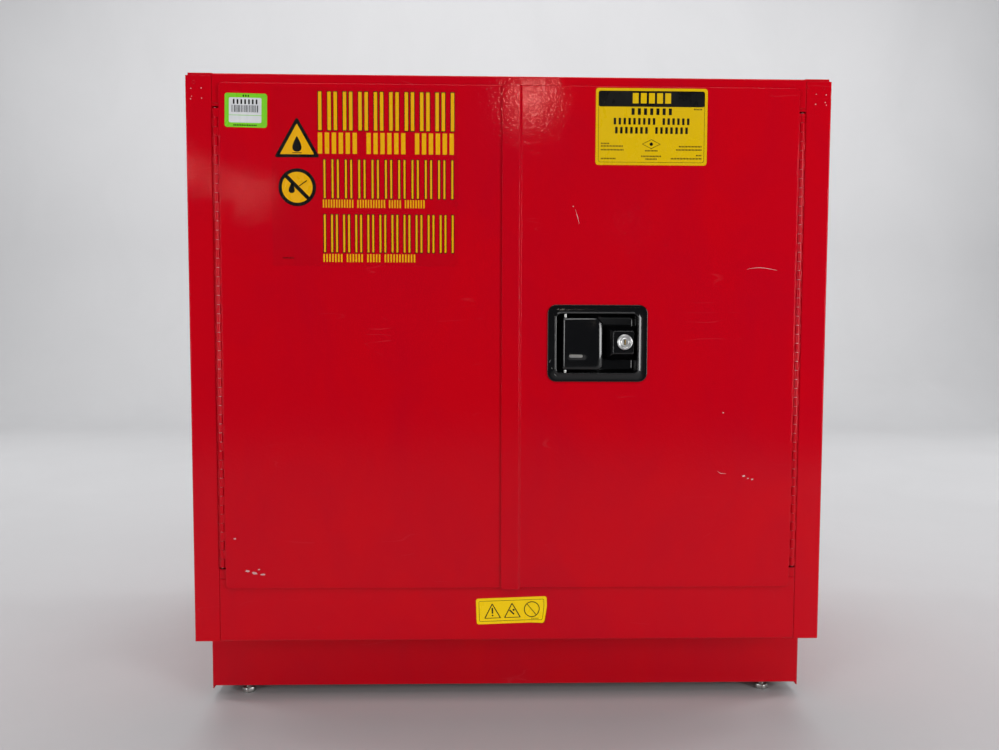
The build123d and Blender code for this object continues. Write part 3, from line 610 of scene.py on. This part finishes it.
def build_lock():
    """Chromed cylinder with a rolled rim, and a plug with a keyhole that turns in it."""
    start = lock_low.y
    centre = (lock_mid[0], start, lock_mid[1])
    bm = bmesh.new()
    turned(bm, centre, [(6.15, 30), (6.15, 1.1), (6.5, 0.75), (7.6, 0.75), (7.9, 0.3), (8.2, 0.05),
                        (9.6, 0.0), (10.3, 0.3), (10.7, 0.9), (10.7, 1.5), (9.5, 1.5), (9.5, 32.5),
                        (6.3, 32.5)])
    inner = [f for f in bm.faces if len(f.verts) > 4]
    bmesh.ops.delete(bm, geom=inner, context="FACES_ONLY")
    ends = [e for e in bm.edges if e.is_boundary]
    bmesh.ops.bridge_loops(bm, edges=ends)
    piece("lock_cylinder", bm, CHROME, "right_door", ["lock_housing"])
    bm = bmesh.new()
    turned(bm, centre, [(0.01, 0.9), (4.6, 0.9), (5.1, 0.75), (5.6, 0.95), (6.0, 1.3), (6.0, 33.0),
                        (0.01, 33.0)])
    piece("lock_plug_face", bm, CHROME, "lock_plug", ["lock_plug"])
    bm = bmesh.new()
    # near-black plate in the keyway: painted shade inside the keyhole
    plate(bm, rounded_box(lock_mid, (3.0, 8.0), 1.2), start + 1.4, start + 0.85)
    piece("keyhole", bm, SHADOW, "lock_plug")
    bm = bmesh.new()
    plate(bm, rounded_box((lock_mid[0] + 0.2, lock_mid[1]), (1.3, 7.0), 0.4), start + 1.3, start + 0.8)
    piece("keyhole_tumbler", bm, BRASS, "lock_plug")


build_dish()
build_boss()
build_paddle()
build_lock()


# ---- stickers ------------------------------------------------------------------------
film = 0.06    # how far printed marks stand off their sticker


def bars(bm, left, right, low, high, groups, back, share=0.55, radius=0.5):
    """A row of upright bars in word-like groups, where a line of words would be."""
    count = sum(groups) + (len(groups) - 1)
    pitch = (right - left) / count
    wide = pitch * share
    i = 0
    for group in groups:
        for _ in range(group):
            mid = left + (i + 0.5) * pitch
            box = rounded_box((mid, (low + high) / 2), (wide, high - low), min(radius, wide * 0.45), 3)
            plate(bm, box, back, back - film)
            i += 1
        i += 1


def build_rating_label():
    """Yellow rating plate: black head band, keyline, rows of bars and a plain diamond."""
    low, high = cad("rating_label")
    face = low.y
    mid = front_mid(low, high)
    inner = (high.x - low.x - 7.4, high.z - low.z - 7.4)
    bm = bmesh.new()
    frame_band(bm, rounded_box(mid, inner, 3.2), rounded_box(mid, (inner[0] - 0.9, inner[1] - 0.9), 2.8),
               face, face - film)
    head_low = high.z - 25.0
    head = (mid[0], (head_low + high.z - 3.7) / 2)
    plate(bm, rounded_box(head, (inner[0], high.z - 3.7 - head_low), 3.0), face, face - film)
    piece("rating_label_band", bm, INK, "right_door")
    bm = bmesh.new()
    bars(bm, mid[0] - 28, mid[0] + 28, head_low + 4.5, high.z - 6.5, [5], face - film, share=0.72)
    piece("rating_label_head_bars", bm, YELLOW, "right_door")
    bm = bmesh.new()
    for half, drop, rows in ((30, 36.0, [7]), (54, 49.2, [9, 6]), (52, 61.4, [7, 7])):
        bars(bm, mid[0] - half, mid[0] + half, high.z - drop, high.z - drop + 9.0, rows, face, share=0.5)
    small = [(-70, -39, 79.5), (-70, -38, 84.5), (-70, -58, 76.0), (-70, -49, 96.5), (38, 70, 79.5),
             (34, 70, 84.0), (62, 70, 91.5), (27, 70, 96.0), (-14, 14, 93.0), (-8, 8, 96.8),
             (58, 70, 29.0), (-9, 9, 85.5)]
    for x0, x1, drop in small:
        bars(bm, mid[0] + x0, mid[0] + x1, high.z - drop, high.z - drop + 2.0, [int((x1 - x0) / 2)], face,
             share=0.6, radius=0.2)
    diamond = [(13, 0), (0, 6.5), (-13, 0), (0, -6.5)]
    centre = (mid[0], high.z - 75.5)
    frame_band(bm, [(centre[0] + x, centre[1] + z) for x, z in diamond],
               [(centre[0] + x * 0.9, centre[1] + z * 0.88) for x, z in diamond], face, face - film)
    plate(bm, circle(centre, 2.4, 16), face, face - film)
    piece("rating_label_print", bm, INK, "right_door")


def rounded_triangle(centre, half, height, radius, steps=6):
    """Upright triangle with round corners; centre is the middle of its base."""
    corners = [(centre[0] + half, centre[1]), (centre[0], centre[1] + height), (centre[0] - half, centre[1])]
    middle = (centre[0], centre[1] + height / 3)
    points = []
    for k, (x, z) in enumerate(corners):
        before, after = corners[k - 1], corners[(k + 1) % 3]
        out_a = atan2(-(x - before[0]), z - before[1])
        out_b = atan2(-(after[0] - x), after[1] - z)
        while out_b < out_a:
            out_b += 2 * pi
        reach = hypot(x - middle[0], z - middle[1])
        shift = radius * 2 if k != 1 else radius / sin(atan2(half, height))
        cx = x + (middle[0] - x) / reach * shift
        cz = z + (middle[1] - z) / reach * shift
        for i in range(steps + 1):
            a = out_a + (out_b - out_a) * i / steps
            points.append((cx + radius * cos(a), cz + radius * sin(a)))
    return points


def drop_shape(centre, width, height, steps=24):
    """A plain pointed drop."""
    points = []
    for i in range(steps):
        a = 2 * pi * i / steps
        pinch = (1 - sin(a)) / 2
        x = width / 2 * cos(a) * (0.25 + 0.95 * pinch)
        points.append((centre[0] + x, centre[1] + height / 2 * sin(a)))
    return points


def turned_bar(bm, centre, length, width, degrees, back, face):
    """Straight bar across a round sign."""
    a = radians(degrees)
    along, across = (cos(a), sin(a)), (-sin(a), cos(a))
    corners = []
    for s, t in ((1, -1), (1, 1), (-1, 1), (-1, -1)):
        corners.append((centre[0] + along[0] * s * length / 2 + across[0] * t * width / 2,
                        centre[1] + along[1] * s * length / 2 + across[1] * t * width / 2))
    plate(bm, corners, back, face)


def build_hazard_decal():
    """Clear film with amber rows, and two plain signs at its left."""
    low, high = cad("hazard_decal")
    face = low.y
    right = high.x - 4
    tall_rows = [(4.7, 58.3, 61.0, 9, 4.7), (95.9, 150.0, 68.0, 10, 2.6), (170.4, 223.5, 68.0, 11, 2.6)]
    middle = front_mid(low, high)
    bm = bmesh.new()
    plate(bm, rounded_box(middle, (high.x - low.x, high.z - low.z), 2.0), high.y - 0.05, face)
    piece("hazard_decal_film", bm, FILM, "left_door", ["hazard_decal"])
    inks, ambers = bmesh.new(), bmesh.new()
    outer_face = face - film
    for top, bottom, start, cells, stroke in tall_rows:
        mid_z, tall = high.z - (top + bottom) / 2, bottom - top
        pitch = (right - low.x - start) / cells
        for i in range(cells):
            left = low.x + start + pitch * i
            for share in (0.12, 0.72):
                place = (left + pitch * share + stroke / 2, mid_z)
                plate(inks, rounded_box(place, (stroke + 1.8, tall), 0.5, 2), face, outer_face)
                plate(ambers, rounded_box(place, (stroke, tall - 1.8), 0.3, 2), outer_face, face - 2 * film)
    bars(ambers, low.x + 61, right, high.z - 89.0, high.z - 60.5, [6, 6, 6], face, share=0.62, radius=0.4)
    for gap, drop, words in ((41, 162.0, [12, 11, 5, 8]), (54, 236.0, [7, 6, 5, 11])):
        bars(ambers, low.x + 68, right - gap, high.z - drop, high.z - drop + 11.0, words, face, radius=0.3)
    bars(inks, low.x + 13, low.x + 29, high.z - 231.5, high.z - 229.8, [8], face, share=0.6, radius=0.2)
    tri = (low.x + 34.4, high.z - 94.3)
    plate(inks, rounded_triangle(tri, 31.0, 55.0, 2.0), face, face - film)
    plate(ambers, rounded_triangle((tri[0], tri[1] + 4.2), 23.2, 41.5, 0.6), face - film, face - 2 * film)
    ring = (low.x + 34.2, high.z - 134.6)
    plate(inks, circle(ring, 25.6, 64), face, face - film)
    plate(ambers, circle(ring, 20.9, 64), face - film, face - 2 * film)
    piece("hazard_rows_outline", inks, INK, "left_door")
    piece("hazard_rows", ambers, AMBER, "left_door")
    bm = bmesh.new()
    top = face - 2 * film
    plate(bm, drop_shape((tri[0], tri[1] + 18.0), 15.0, 21.0), top, top - film)
    plate(bm, rounded_box((tri[0], tri[1] + 6.2), (13.0, 0.9), 0.3, 2), top, top - film)
    turned_bar(bm, ring, 43.0, 5.2, -45, top, top - film)
    plate(bm, drop_shape((ring[0] - 7.5, ring[1] - 1.0), 10.0, 14.0), top, top - film)
    turned_bar(bm, (ring[0] + 8.0, ring[1] + 5.5), 13.0, 1.3, 35, top, top - film)
    piece("hazard_sign_marks", bm, INK, "left_door")


def build_asset_tag():
    """Small green-edged tag: white panel, a bar pattern and a ruled line."""
    low, high = cad("asset_tag")
    face = low.y
    mid = front_mid(low, high)
    bm = bmesh.new()
    panel = (mid[0] - 0.9, mid[1] + 0.2)
    plate(bm, rounded_box(panel, (44.0, 33.5), 1.6, 4), face, face - film)
    tilt(bm, mid, -1.0)
    piece("asset_tag_panel", bm, WHITE, "left_door")
    bm = bmesh.new()
    pick = Random(4)
    x = panel[0] - 18.5
    while x < panel[0] + 17.5:
        wide = pick.choice((0.7, 0.7, 1.2, 1.9))
        bar = rounded_box((x + wide / 2, panel[1] + 2.0), (wide, 9.4), 0.05, 1)
        plate(bm, bar, face - film, face - 2 * film)
        x += wide + pick.choice((0.7, 0.9, 1.4))
    tilt(bm, mid, -1.0)
    piece("asset_tag_bars", bm, GREY_INK, "left_door")
    bm = bmesh.new()
    bars(bm, panel[0] - 18, panel[0] + 18, panel[1] + 8.0, panel[1] + 14.6, [7], face - film, share=0.45)
    bars(bm, mid[0] - 5, mid[0] + 5, high.z - 5.2, high.z - 2.6, [3], face)
    bars(bm, mid[0] - 17, mid[0] + 15, low.z + 2.4, low.z + 4.2, [14], face, share=0.7, radius=0.2)
    tilt(bm, mid, -1.0)
    piece("asset_tag_print", bm, INK, "left_door")
    bm = bmesh.new()
    plate(bm, rounded_box((panel[0], panel[1] - 6.8), (44.0, 0.7), 0.1, 1), face - film, face - 2 * film)
    tilt(bm, mid, -1.0)
    piece("asset_tag_rule", bm, GREEN, "left_door")


def build_sill_label():
    """Yellow sticker on the bottom rail, tilted, with its lower right corner lifting."""
    low, high = cad("sill_label")
    face = low.y
    mid = front_mid(low, high)
    half_w, half_h = 50.35, 18.6
    slope = 2.0
    bm = bmesh.new()
    columns, rows = 40, 16
    corner = 3.0

    def lifted(x, z, y):
        """A place on the sheet, whose lower right corner comes away from the rail."""
        near = max(0.0, x - 22) / 28.35 * max(0.0, 5 - z) / 23.6
        return mid[0] + x - 5.0 * near ** 1.2, y - 4.0 * near ** 1.5, mid[1] + z

    def sheet_point(i, j, back):
        x, z = (2 * i / columns - 1) * half_w, (2 * j / rows - 1) * half_h
        over_x, over_z = max(0, abs(x) - half_w + corner), max(0, abs(z) - half_h + corner)
        over = hypot(over_x, over_z)
        if over > corner:
            x -= (over_x - over_x * corner / over) * (1 if x > 0 else -1)
            z -= (over_z - over_z * corner / over) * (1 if z > 0 else -1)
        return lifted(x, z, face + back)

    skins = [[[bm.verts.new(sheet_point(i, j, back)) for i in range(columns + 1)] for j in range(rows + 1)]
             for back in (0.0, 0.25)]
    for grid in skins:
        for j in range(rows):
            for i in range(columns):
                bm.faces.new((grid[j][i], grid[j][i + 1], grid[j + 1][i + 1], grid[j + 1][i]))
    border = [(i, 0) for i in range(columns)] + [(columns, j) for j in range(rows)]
    border += [(i, rows) for i in range(columns, 0, -1)] + [(0, j) for j in range(rows, 0, -1)]
    for (i, j), (m, n) in zip(border, border[1:] + border[:1]):
        bm.faces.new((skins[0][j][i], skins[0][n][m], skins[1][n][m], skins[1][j][i]))
    tilt(bm, mid, slope)
    piece("sill_label_sheet", bm, BRIGHT_YELLOW, "cabinet", ["sill_label"], crease=60)

    bm = bmesh.new()
    for x in (-27.4, 0.8):
        place = (mid[0] + x, mid[1] - 10.6)
        frame_band(bm, rounded_triangle(place, 12.2, 22.2, 0.9, 3),
                   rounded_triangle((place[0], place[1] + 0.9), 10.1, 18.6, 0.4, 3), face, face - film)
    plate(bm, rounded_box((mid[0] - 27.4, mid[1] + 0.5), (2.2, 8.6), 0.9, 3), face, face - film)
    plate(bm, circle((mid[0] - 27.4, mid[1] - 6.4), 1.2, 12), face, face - film)
    turned_bar(bm, (mid[0] + 0.2, mid[1] - 2.6), 9.0, 2.0, -45, face, face - film)
    plate(bm, circle((mid[0] + 2.8, mid[1] + 0.6), 1.5, 12), face, face - film)
    ring = (mid[0] + 28.9, mid[1] + 0.5)
    frame_band(bm, circle(ring, 11.4, 40), circle(ring, 10.2, 40), face, face - film)
    turned_bar(bm, ring, 21.2, 0.9, -50, face, face - film)
    keyline = []
    for inset in (0.0, 0.55):
        outline = rounded_box((0, 0), (93.0 - 2 * inset, 29.6 - 2 * inset), 2.0 - inset, 4)
        closed = outline + outline[:1]
        fine = [(x0 + (x1 - x0) * k / 12, z0 + (z1 - z0) * k / 12)
                for (x0, z0), (x1, z1) in zip(closed, closed[1:]) for k in range(12)]
        keyline.append([(mid[0] + x, face, mid[1] + z) for x, z in fine])
        keyline.append([(mid[0] + x, face - film, mid[1] + z) for x, z in fine])
    outer_back, outer_face, inner_back, inner_face = keyline
    skin_round(bm, [outer_back, outer_face, inner_face, inner_back])
    bars(bm, mid[0] + 28, mid[0] + 40, mid[1] - 13.0, mid[1] - 12.0, [6], face, share=0.6, radius=0.1)
    for vert in bm.verts:
        vert.co = lifted(vert.co.x - mid[0], vert.co.z - mid[1], vert.co.y - 0.04)
    tilt(bm, mid, slope)
    piece("sill_label_print", bm, INK, "cabinet")


build_rating_label()
build_hazard_decal()
build_asset_tag()
build_sill_label()


# ---- feet, vents and small shell details -----------------------------------------------
def build_foot(name):
    """Zinc hex-head levelling bolt with a chamfered head and a rolled thread."""
    low, high = cad(name)
    centre = ((low.x + high.x) / 2, (low.y + high.y) / 2, 0.0)
    bm = bmesh.new()
    flats = 19.0
    heights = [(0.86, 0.0), (0.97, 0.7), (1.0, 1.6), (1.0, 6.6), (0.97, 7.4), (0.86, 8.0)]
    loops = []
    for share, z in heights:
        ring = []
        for i in range(24):
            a = 2 * pi * (i + 0.5) / 24
            sector = (a + pi / 6) % (pi / 3) - pi / 6
            reach = min(flats / 2 / cos(sector), flats / 2 * 1.12) * share
            ring.append((centre[0] + reach * cos(a), centre[1] + reach * sin(a), low.z + z))
        loops.append(ring)
    skin_loops(bm, loops)
    thread = [(4.2, 8.0)]
    z = 8.0
    while z < 66.0:
        thread += [(4.25, z + 0.1), (4.94, z + 0.75)]
        z += 1.5
    thread += [(4.9, 72.5), (4.0, 74.0)]
    turned(bm, centre, [(r, low.z + h) for r, h in thread], axis="Z", steps=24)
    piece(f"{name}_bolt", bm, ZINC, name, [name])


def build_vent_cap(name, body):
    """Cast cap: domed disc with grip ribs round its edge and a square wrench lug."""
    low, high = cad(body)
    centre = ((low.x + high.x) / 2, 0.0, (low.z + high.z) / 2)
    back = high.y - 16.0
    bm = bmesh.new()
    profile = [(22, -14), (24.9, -14), (24.9, 2.7), (32.0, 2.7), (32.6, 3.4), (32.6, 9.0), (31.6, 10.3),
               (28, 10.9), (10, 11.4)]
    turned(bm, centre, [(radius, back + along) for radius, along in profile], steps=64)
    for i in range(24):
        a = 2 * pi * i / 24
        rib = rounded_box((centre[0] + 32.2 * cos(a), centre[2] + 32.2 * sin(a)), (1.5, 1.5), 0.6, 2)
        plate(bm, rib, back + 3.6, back + 9.4)
    lug = bmesh.new()
    block(lug, (centre[0] - 9, back + 10.5, centre[2] - 9), (centre[0] + 9, back + 16.0, centre[2] + 9))
    soften(lug, 1.6, 3)
    lug_mesh = bpy.data.meshes.new("lug")
    lug.to_mesh(lug_mesh)
    lug.free()
    bm.from_mesh(lug_mesh)
    bpy.data.meshes.remove(lug_mesh)
    piece(name, bm, IRON, body, [body])


def build_ground_stud():
    """Threaded stud at the back for a bonding wire."""
    low, high = cad("ground_stud")
    centre = ((low.x + high.x) / 2, 0.0, (low.z + high.z) / 2)
    bm = bmesh.new()
    profile = [(5.0, low.y), (5.0, low.y + 4.0), (2.6, low.y + 4.0)]
    y = low.y + 4.2
    while y < high.y - 1.2:
        profile += [(2.55, y + 0.1), (2.98, y + 0.55)]
        y += 1.0
    profile += [(2.5, high.y - 0.1), (2.0, high.y)]
    turned(bm, centre, profile, steps=24)
    piece("ground_stud_thread", bm, ZINC, "cabinet", ["ground_stud"])


def build_return_spring():
    """Coiled wire round the paddle's pin."""
    low, high = cad("paddle_spring")
    centre = ((low.x + high.x) / 2, (low.y + high.y) / 2)
    turns, steps = 9, 20
    coil, wire, end_gap = 3.6, 0.55, 0.6
    curve = bpy.data.curves.new("paddle_return_spring", "CURVE")
    curve.dimensions = "3D"
    line = curve.splines.new("POLY")
    count = turns * steps
    line.points.add(count)
    for i in range(count + 1):
        a = 2 * pi * i / steps
        z = low.z + end_gap + (high.z - low.z - 2 * end_gap) * i / count
        x, y = centre[0] + coil * cos(a), centre[1] + coil * sin(a)
        line.points[i].co = (x * MM, y * MM, z * MM, 1)
    curve.bevel_depth = wire * MM
    curve.use_fill_caps = True
    curve.materials.append(ZINC)
    obj = bpy.data.objects.new("paddle_return_spring", curve)
    bpy.context.scene.collection.objects.link(obj)
    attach(obj, "right_door")
    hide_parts("paddle_spring")


def blob(bm, centre, radius, rise, pick, steps=12):
    """Low uneven bump on a front face."""
    rings = [(1.0, 0.0), (0.7, 0.6), (0.35, 0.93)]
    wobble = [1 + pick.uniform(-0.22, 0.22) for _ in range(steps)]
    loops = []
    for share, lift in rings:
        loops.append([
            (centre[0] + radius * share * wobble[i] * cos(2 * pi * i / steps), centre[1] - rise * lift,
             centre[2] + radius * share * wobble[i] * sin(2 * pi * i / steps))
            for i in range(steps)
        ])
    skin_loops(bm, loops)


def build_flange_details():
    """Pilot holes and weld spatter near the top of the side flanges; a near-black disc in each hole is
    painted shade, and the pale colour of the spatter is a painted highlight.
    """
    pick = Random(11)
    holes, hollows, spatter_glints = bmesh.new(), bmesh.new(), bmesh.new()
    left, right = cad("outer_side_left"), cad("outer_side_right")
    hole_z = 890.5
    lip = [(0.01, 0.5), (1.5, 0.4), (1.8, -0.02), (2.1, -0.16), (2.5, -0.02), (2.5, 0.5)]
    for side, x_out in ((-1, left[0].x), (1, right[1].x)):
        x = x_out - side * 12.0
        turned(holes, (x, shell_front, hole_z), lip, steps=20)
        # near-black disc deep in each hole: painted shade
        plate(hollows, circle((x, hole_z), 1.5, 20), shell_front + 0.4, shell_front + 0.1)
        # raised weld spatter, coloured pale as a painted highlight
        for dx, z in ((8.0, 882.0), (22.0, 882.6), (7.5, 868.0), (22.5, 869.0), (9.0, 871.5)):
            spot = (x_out - side * dx, shell_front, z)
            blob(spatter_glints, spot, pick.uniform(0.5, 1.0), pick.uniform(0.1, 0.25), pick)
    piece("pilot_holes", holes, RED, "cabinet")
    piece("pilot_hole_depths", hollows, SHADOW, "cabinet")
    piece("flange_spatter_glints", spatter_glints, PRIMER_AND_GLINT, "cabinet")


damage_rise = 0.03    # how far chips and scratches stand off the face they mark


def scratch_strip(bm, points, width, y):
    """Thin raised-edge scratch along a few points, tapering to its ends."""
    upper, lower = [], []
    last = len(points) - 1
    for k, (x, z) in enumerate(points):
        before, after = points[max(0, k - 1)], points[min(last, k + 1)]
        dx, dz = after[0] - before[0], after[1] - before[1]
        size = hypot(dx, dz)
        half = width / 2 * (0.25 + 0.75 * sin(pi * k / last))
        upper.append((x - dz / size * half, z + dx / size * half))
        lower.append((x + dz / size * half, z - dx / size * half))
    plate(bm, lower + list(reversed(upper)), y, y - damage_rise)


def paint_chip(bm, x, z, size, stretch, pick, steps=9):
    """Ragged chip on a door, wider than it is high by the stretch."""
    outline = []
    for i in range(steps):
        a = 2 * pi * i / steps
        outline.append((x + size * stretch * cos(a) * pick.uniform(0.6, 1.2),
                        z + size * sin(a) * pick.uniform(0.6, 1.2)))
    plate(bm, outline, door_front, door_front - damage_rise)


def build_paint_damage():
    """Chips and hairlines through the enamel of each door, and scuffs on the latch's flange."""
    pick = Random(5)
    right, left = bmesh.new(), bmesh.new()
    arc = [(330.0 + 6 * i, 641.0 + 2.2 * sin(i * 0.55)) for i in range(8)]
    scratch_strip(right, arc, 0.7, door_front)
    scratch_strip(right, [(293.0, 357.0), (298.0, 354.0), (306.0, 353.5)], 0.8, door_front)
    for x, z, size in ((331, 350, 1.4), (337, 347, 1.0), (343, 345.5, 1.3), (86, 726, 0.8),
                       (300, 440, 0.8)):
        paint_chip(right, x, z, size, 1.6, pick)
    scratch_strip(right, [(89.0, 722.0), (92.0, 712.0), (94.5, 702.0)], 0.6, door_front)
    scuffs = bmesh.new()
    corner_x, corner_z = latch_low.x, latch_low.z
    for points in ([(2.6, 26.5), (3.6, 29.0), (4.8, 31.0)], [(9.5, 11.0), (11.0, 9.3), (12.8, 8.0)],
                   [(5.6, 20.0), (6.2, 18.6), (6.9, 17.6)]):
        scratch_strip(scuffs, [(corner_x + x, corner_z + z) for x, z in points], 0.9, door_front - 2.0)
    piece("latch_flange_scuffs", scuffs, ZINC, "right_door")
    for x, z, size in ((-368, 216, 1.6), (-358, 213, 2.0), (-347, 211, 1.5), (-352, 218, 0.9),
                       (-385, 262, 1.0)):
        paint_chip(left, x, z, size, 2.2, pick)
    piece("paint_chips_right", right, PRIMER_AND_GLINT, "right_door")
    piece("paint_chips_left", left, PRIMER_AND_GLINT, "left_door")


for foot in ("foot_front_left", "foot_front_right", "foot_rear_left", "foot_rear_right"):
    build_foot(foot)
build_vent_cap("low_vent_cap_casting", "vent_cap_low")
build_vent_cap("high_vent_cap_casting", "vent_cap_high")
build_ground_stud()
build_return_spring()
build_flange_details()
build_paint_damage()


# ---- floor, light and camera ---------------------------------------------------------
def build_stage():
    """Pale floor that curves up into a wall well behind the cabinet."""
    bm = bmesh.new()
    wide, near, far, bend = 6.0, -6.0, 4.2, 1.2
    profile = [(near, 0.0), (far - bend, 0.0)]
    for i in range(1, 13):
        a = pi / 2 * i / 12
        profile.append((far - bend + bend * sin(a), bend * (1 - cos(a))))
    profile.append((far, 4.5))
    lines = [[bm.verts.new((x, y, z)) for y, z in profile] for x in (-wide, wide)]
    for i in range(len(profile) - 1):
        bm.faces.new((lines[0][i], lines[1][i], lines[1][i + 1], lines[0][i + 1]))
    for face in bm.faces:
        face.smooth = True
    mesh = bpy.data.meshes.new("studio_floor")
    bm.to_mesh(mesh)
    bm.free()
    material, tree, shader = new_material("pale_floor", roughness=0.6)
    mottle = use_group(tree, SMUDGES, scale=1.5)
    tree.links.new(mix_colour(tree, mottle.outputs["Mask"], (0.46, 0.46, 0.468), (0.44, 0.44, 0.448)),
                   shader.inputs["Base Color"])
    mesh.materials.append(material)
    floor = bpy.data.objects.new("studio_floor", mesh)
    bpy.context.scene.collection.objects.link(floor)


LAMP_TINT = (1.0, 0.86, 0.66)


def area_light(name, place, aim, size, power, colour=(1, 1, 1)):
    """Rectangular light at a place, turned to its aim; all in metres."""
    light = bpy.data.lights.new(name, "AREA")
    light.shape = "RECTANGLE"
    light.size, light.size_y = size
    light.energy = power
    light.color = colour
    obj = bpy.data.objects.new(name, light)
    obj.location = place
    obj.rotation_euler = (Vector(aim) - Vector(place)).to_track_quat("-Z", "Y").to_euler()
    bpy.context.scene.collection.objects.link(obj)


def build_light():
    """Softboxes round the cabinet and on the wall, and four small warm lamps it mirrors."""
    world = bpy.data.worlds.new("studio")
    bpy.context.scene.world = world
    world.use_nodes = True
    sky = world.node_tree.nodes["Background"]
    sky.inputs["Color"].default_value = (0.85, 0.9, 1.0, 1)
    sky.inputs["Strength"].default_value = 0.10
    area_light("front_softbox", (0.0, -2.3, 3.7), (0, 0, 0.35), (3.4, 1.2), 60)
    area_light("ceiling_softbox", (0.0, 0.6, 3.6), (0, 0.3, 0.4), (3.4, 1.8), 45)
    area_light("left_softbox", (-2.1, -2.1, 0.75), (0, 0, 0.45), (0.8, 1.3), 23)
    area_light("right_softbox", (2.15, -2.0, 0.75), (0, 0, 0.45), (0.8, 1.3), 37)
    area_light("wall_softbox", (0.0, 1.6, 4.4), (0, 4.2, 1.2), (5.0, 0.6), 112)
    area_light("wall_left_softbox", (-3.6, 0.9, 2.4), (-0.7, 4.2, 1.3), (1.6, 2.2), 84)
    area_light("wall_right_softbox", (3.6, 0.9, 2.4), (0.7, 4.2, 1.3), (1.6, 2.2), 94)
    area_light("lamp_middle", (0.20, -3.1, 1.74), (0, 0, 0.8), (0.06, 0.14), 1.3, LAMP_TINT)
    area_light("lamp_left", (-1.23, -3.1, 1.26), (-0.4, 0, 0.75), (0.05, 0.06), 0.36, LAMP_TINT)
    area_light("lamp_far_left", (-1.52, -3.1, 1.36), (-0.4, 0, 0.75), (0.04, 0.06), 0.30, LAMP_TINT)
    area_light("lamp_right", (0.71, -3.1, 1.11), (0.3, 0, 0.65), (0.03, 0.03), 0.02, LAMP_TINT)


def build_camera():
    """Standing a metre in front of the doors, a little left of centre, looking slightly down."""
    camera = bpy.data.cameras.new("camera")
    camera.sensor_width = 36.0
    camera.lens = 27.03
    obj = bpy.data.objects.new("camera", camera)
    distance, left, eye = 1.0485, 0.0378, 0.548
    pitch, yaw, roll = 3.04, 1.244, 0.192
    obj.location = (-left, shell_front * MM - distance, eye)
    turn = Matrix.Rotation(radians(-yaw), 4, "Z") @ Matrix.Rotation(radians(90 - pitch), 4, "X")
    turn = turn @ Matrix.Rotation(radians(roll), 4, "Z")
    obj.rotation_euler = turn.to_euler()
    bpy.context.scene.collection.objects.link(obj)
    bpy.context.scene.camera = obj


build_stage()
build_light()
build_camera()
bpy.context.scene.view_settings.view_transform = "Standard"
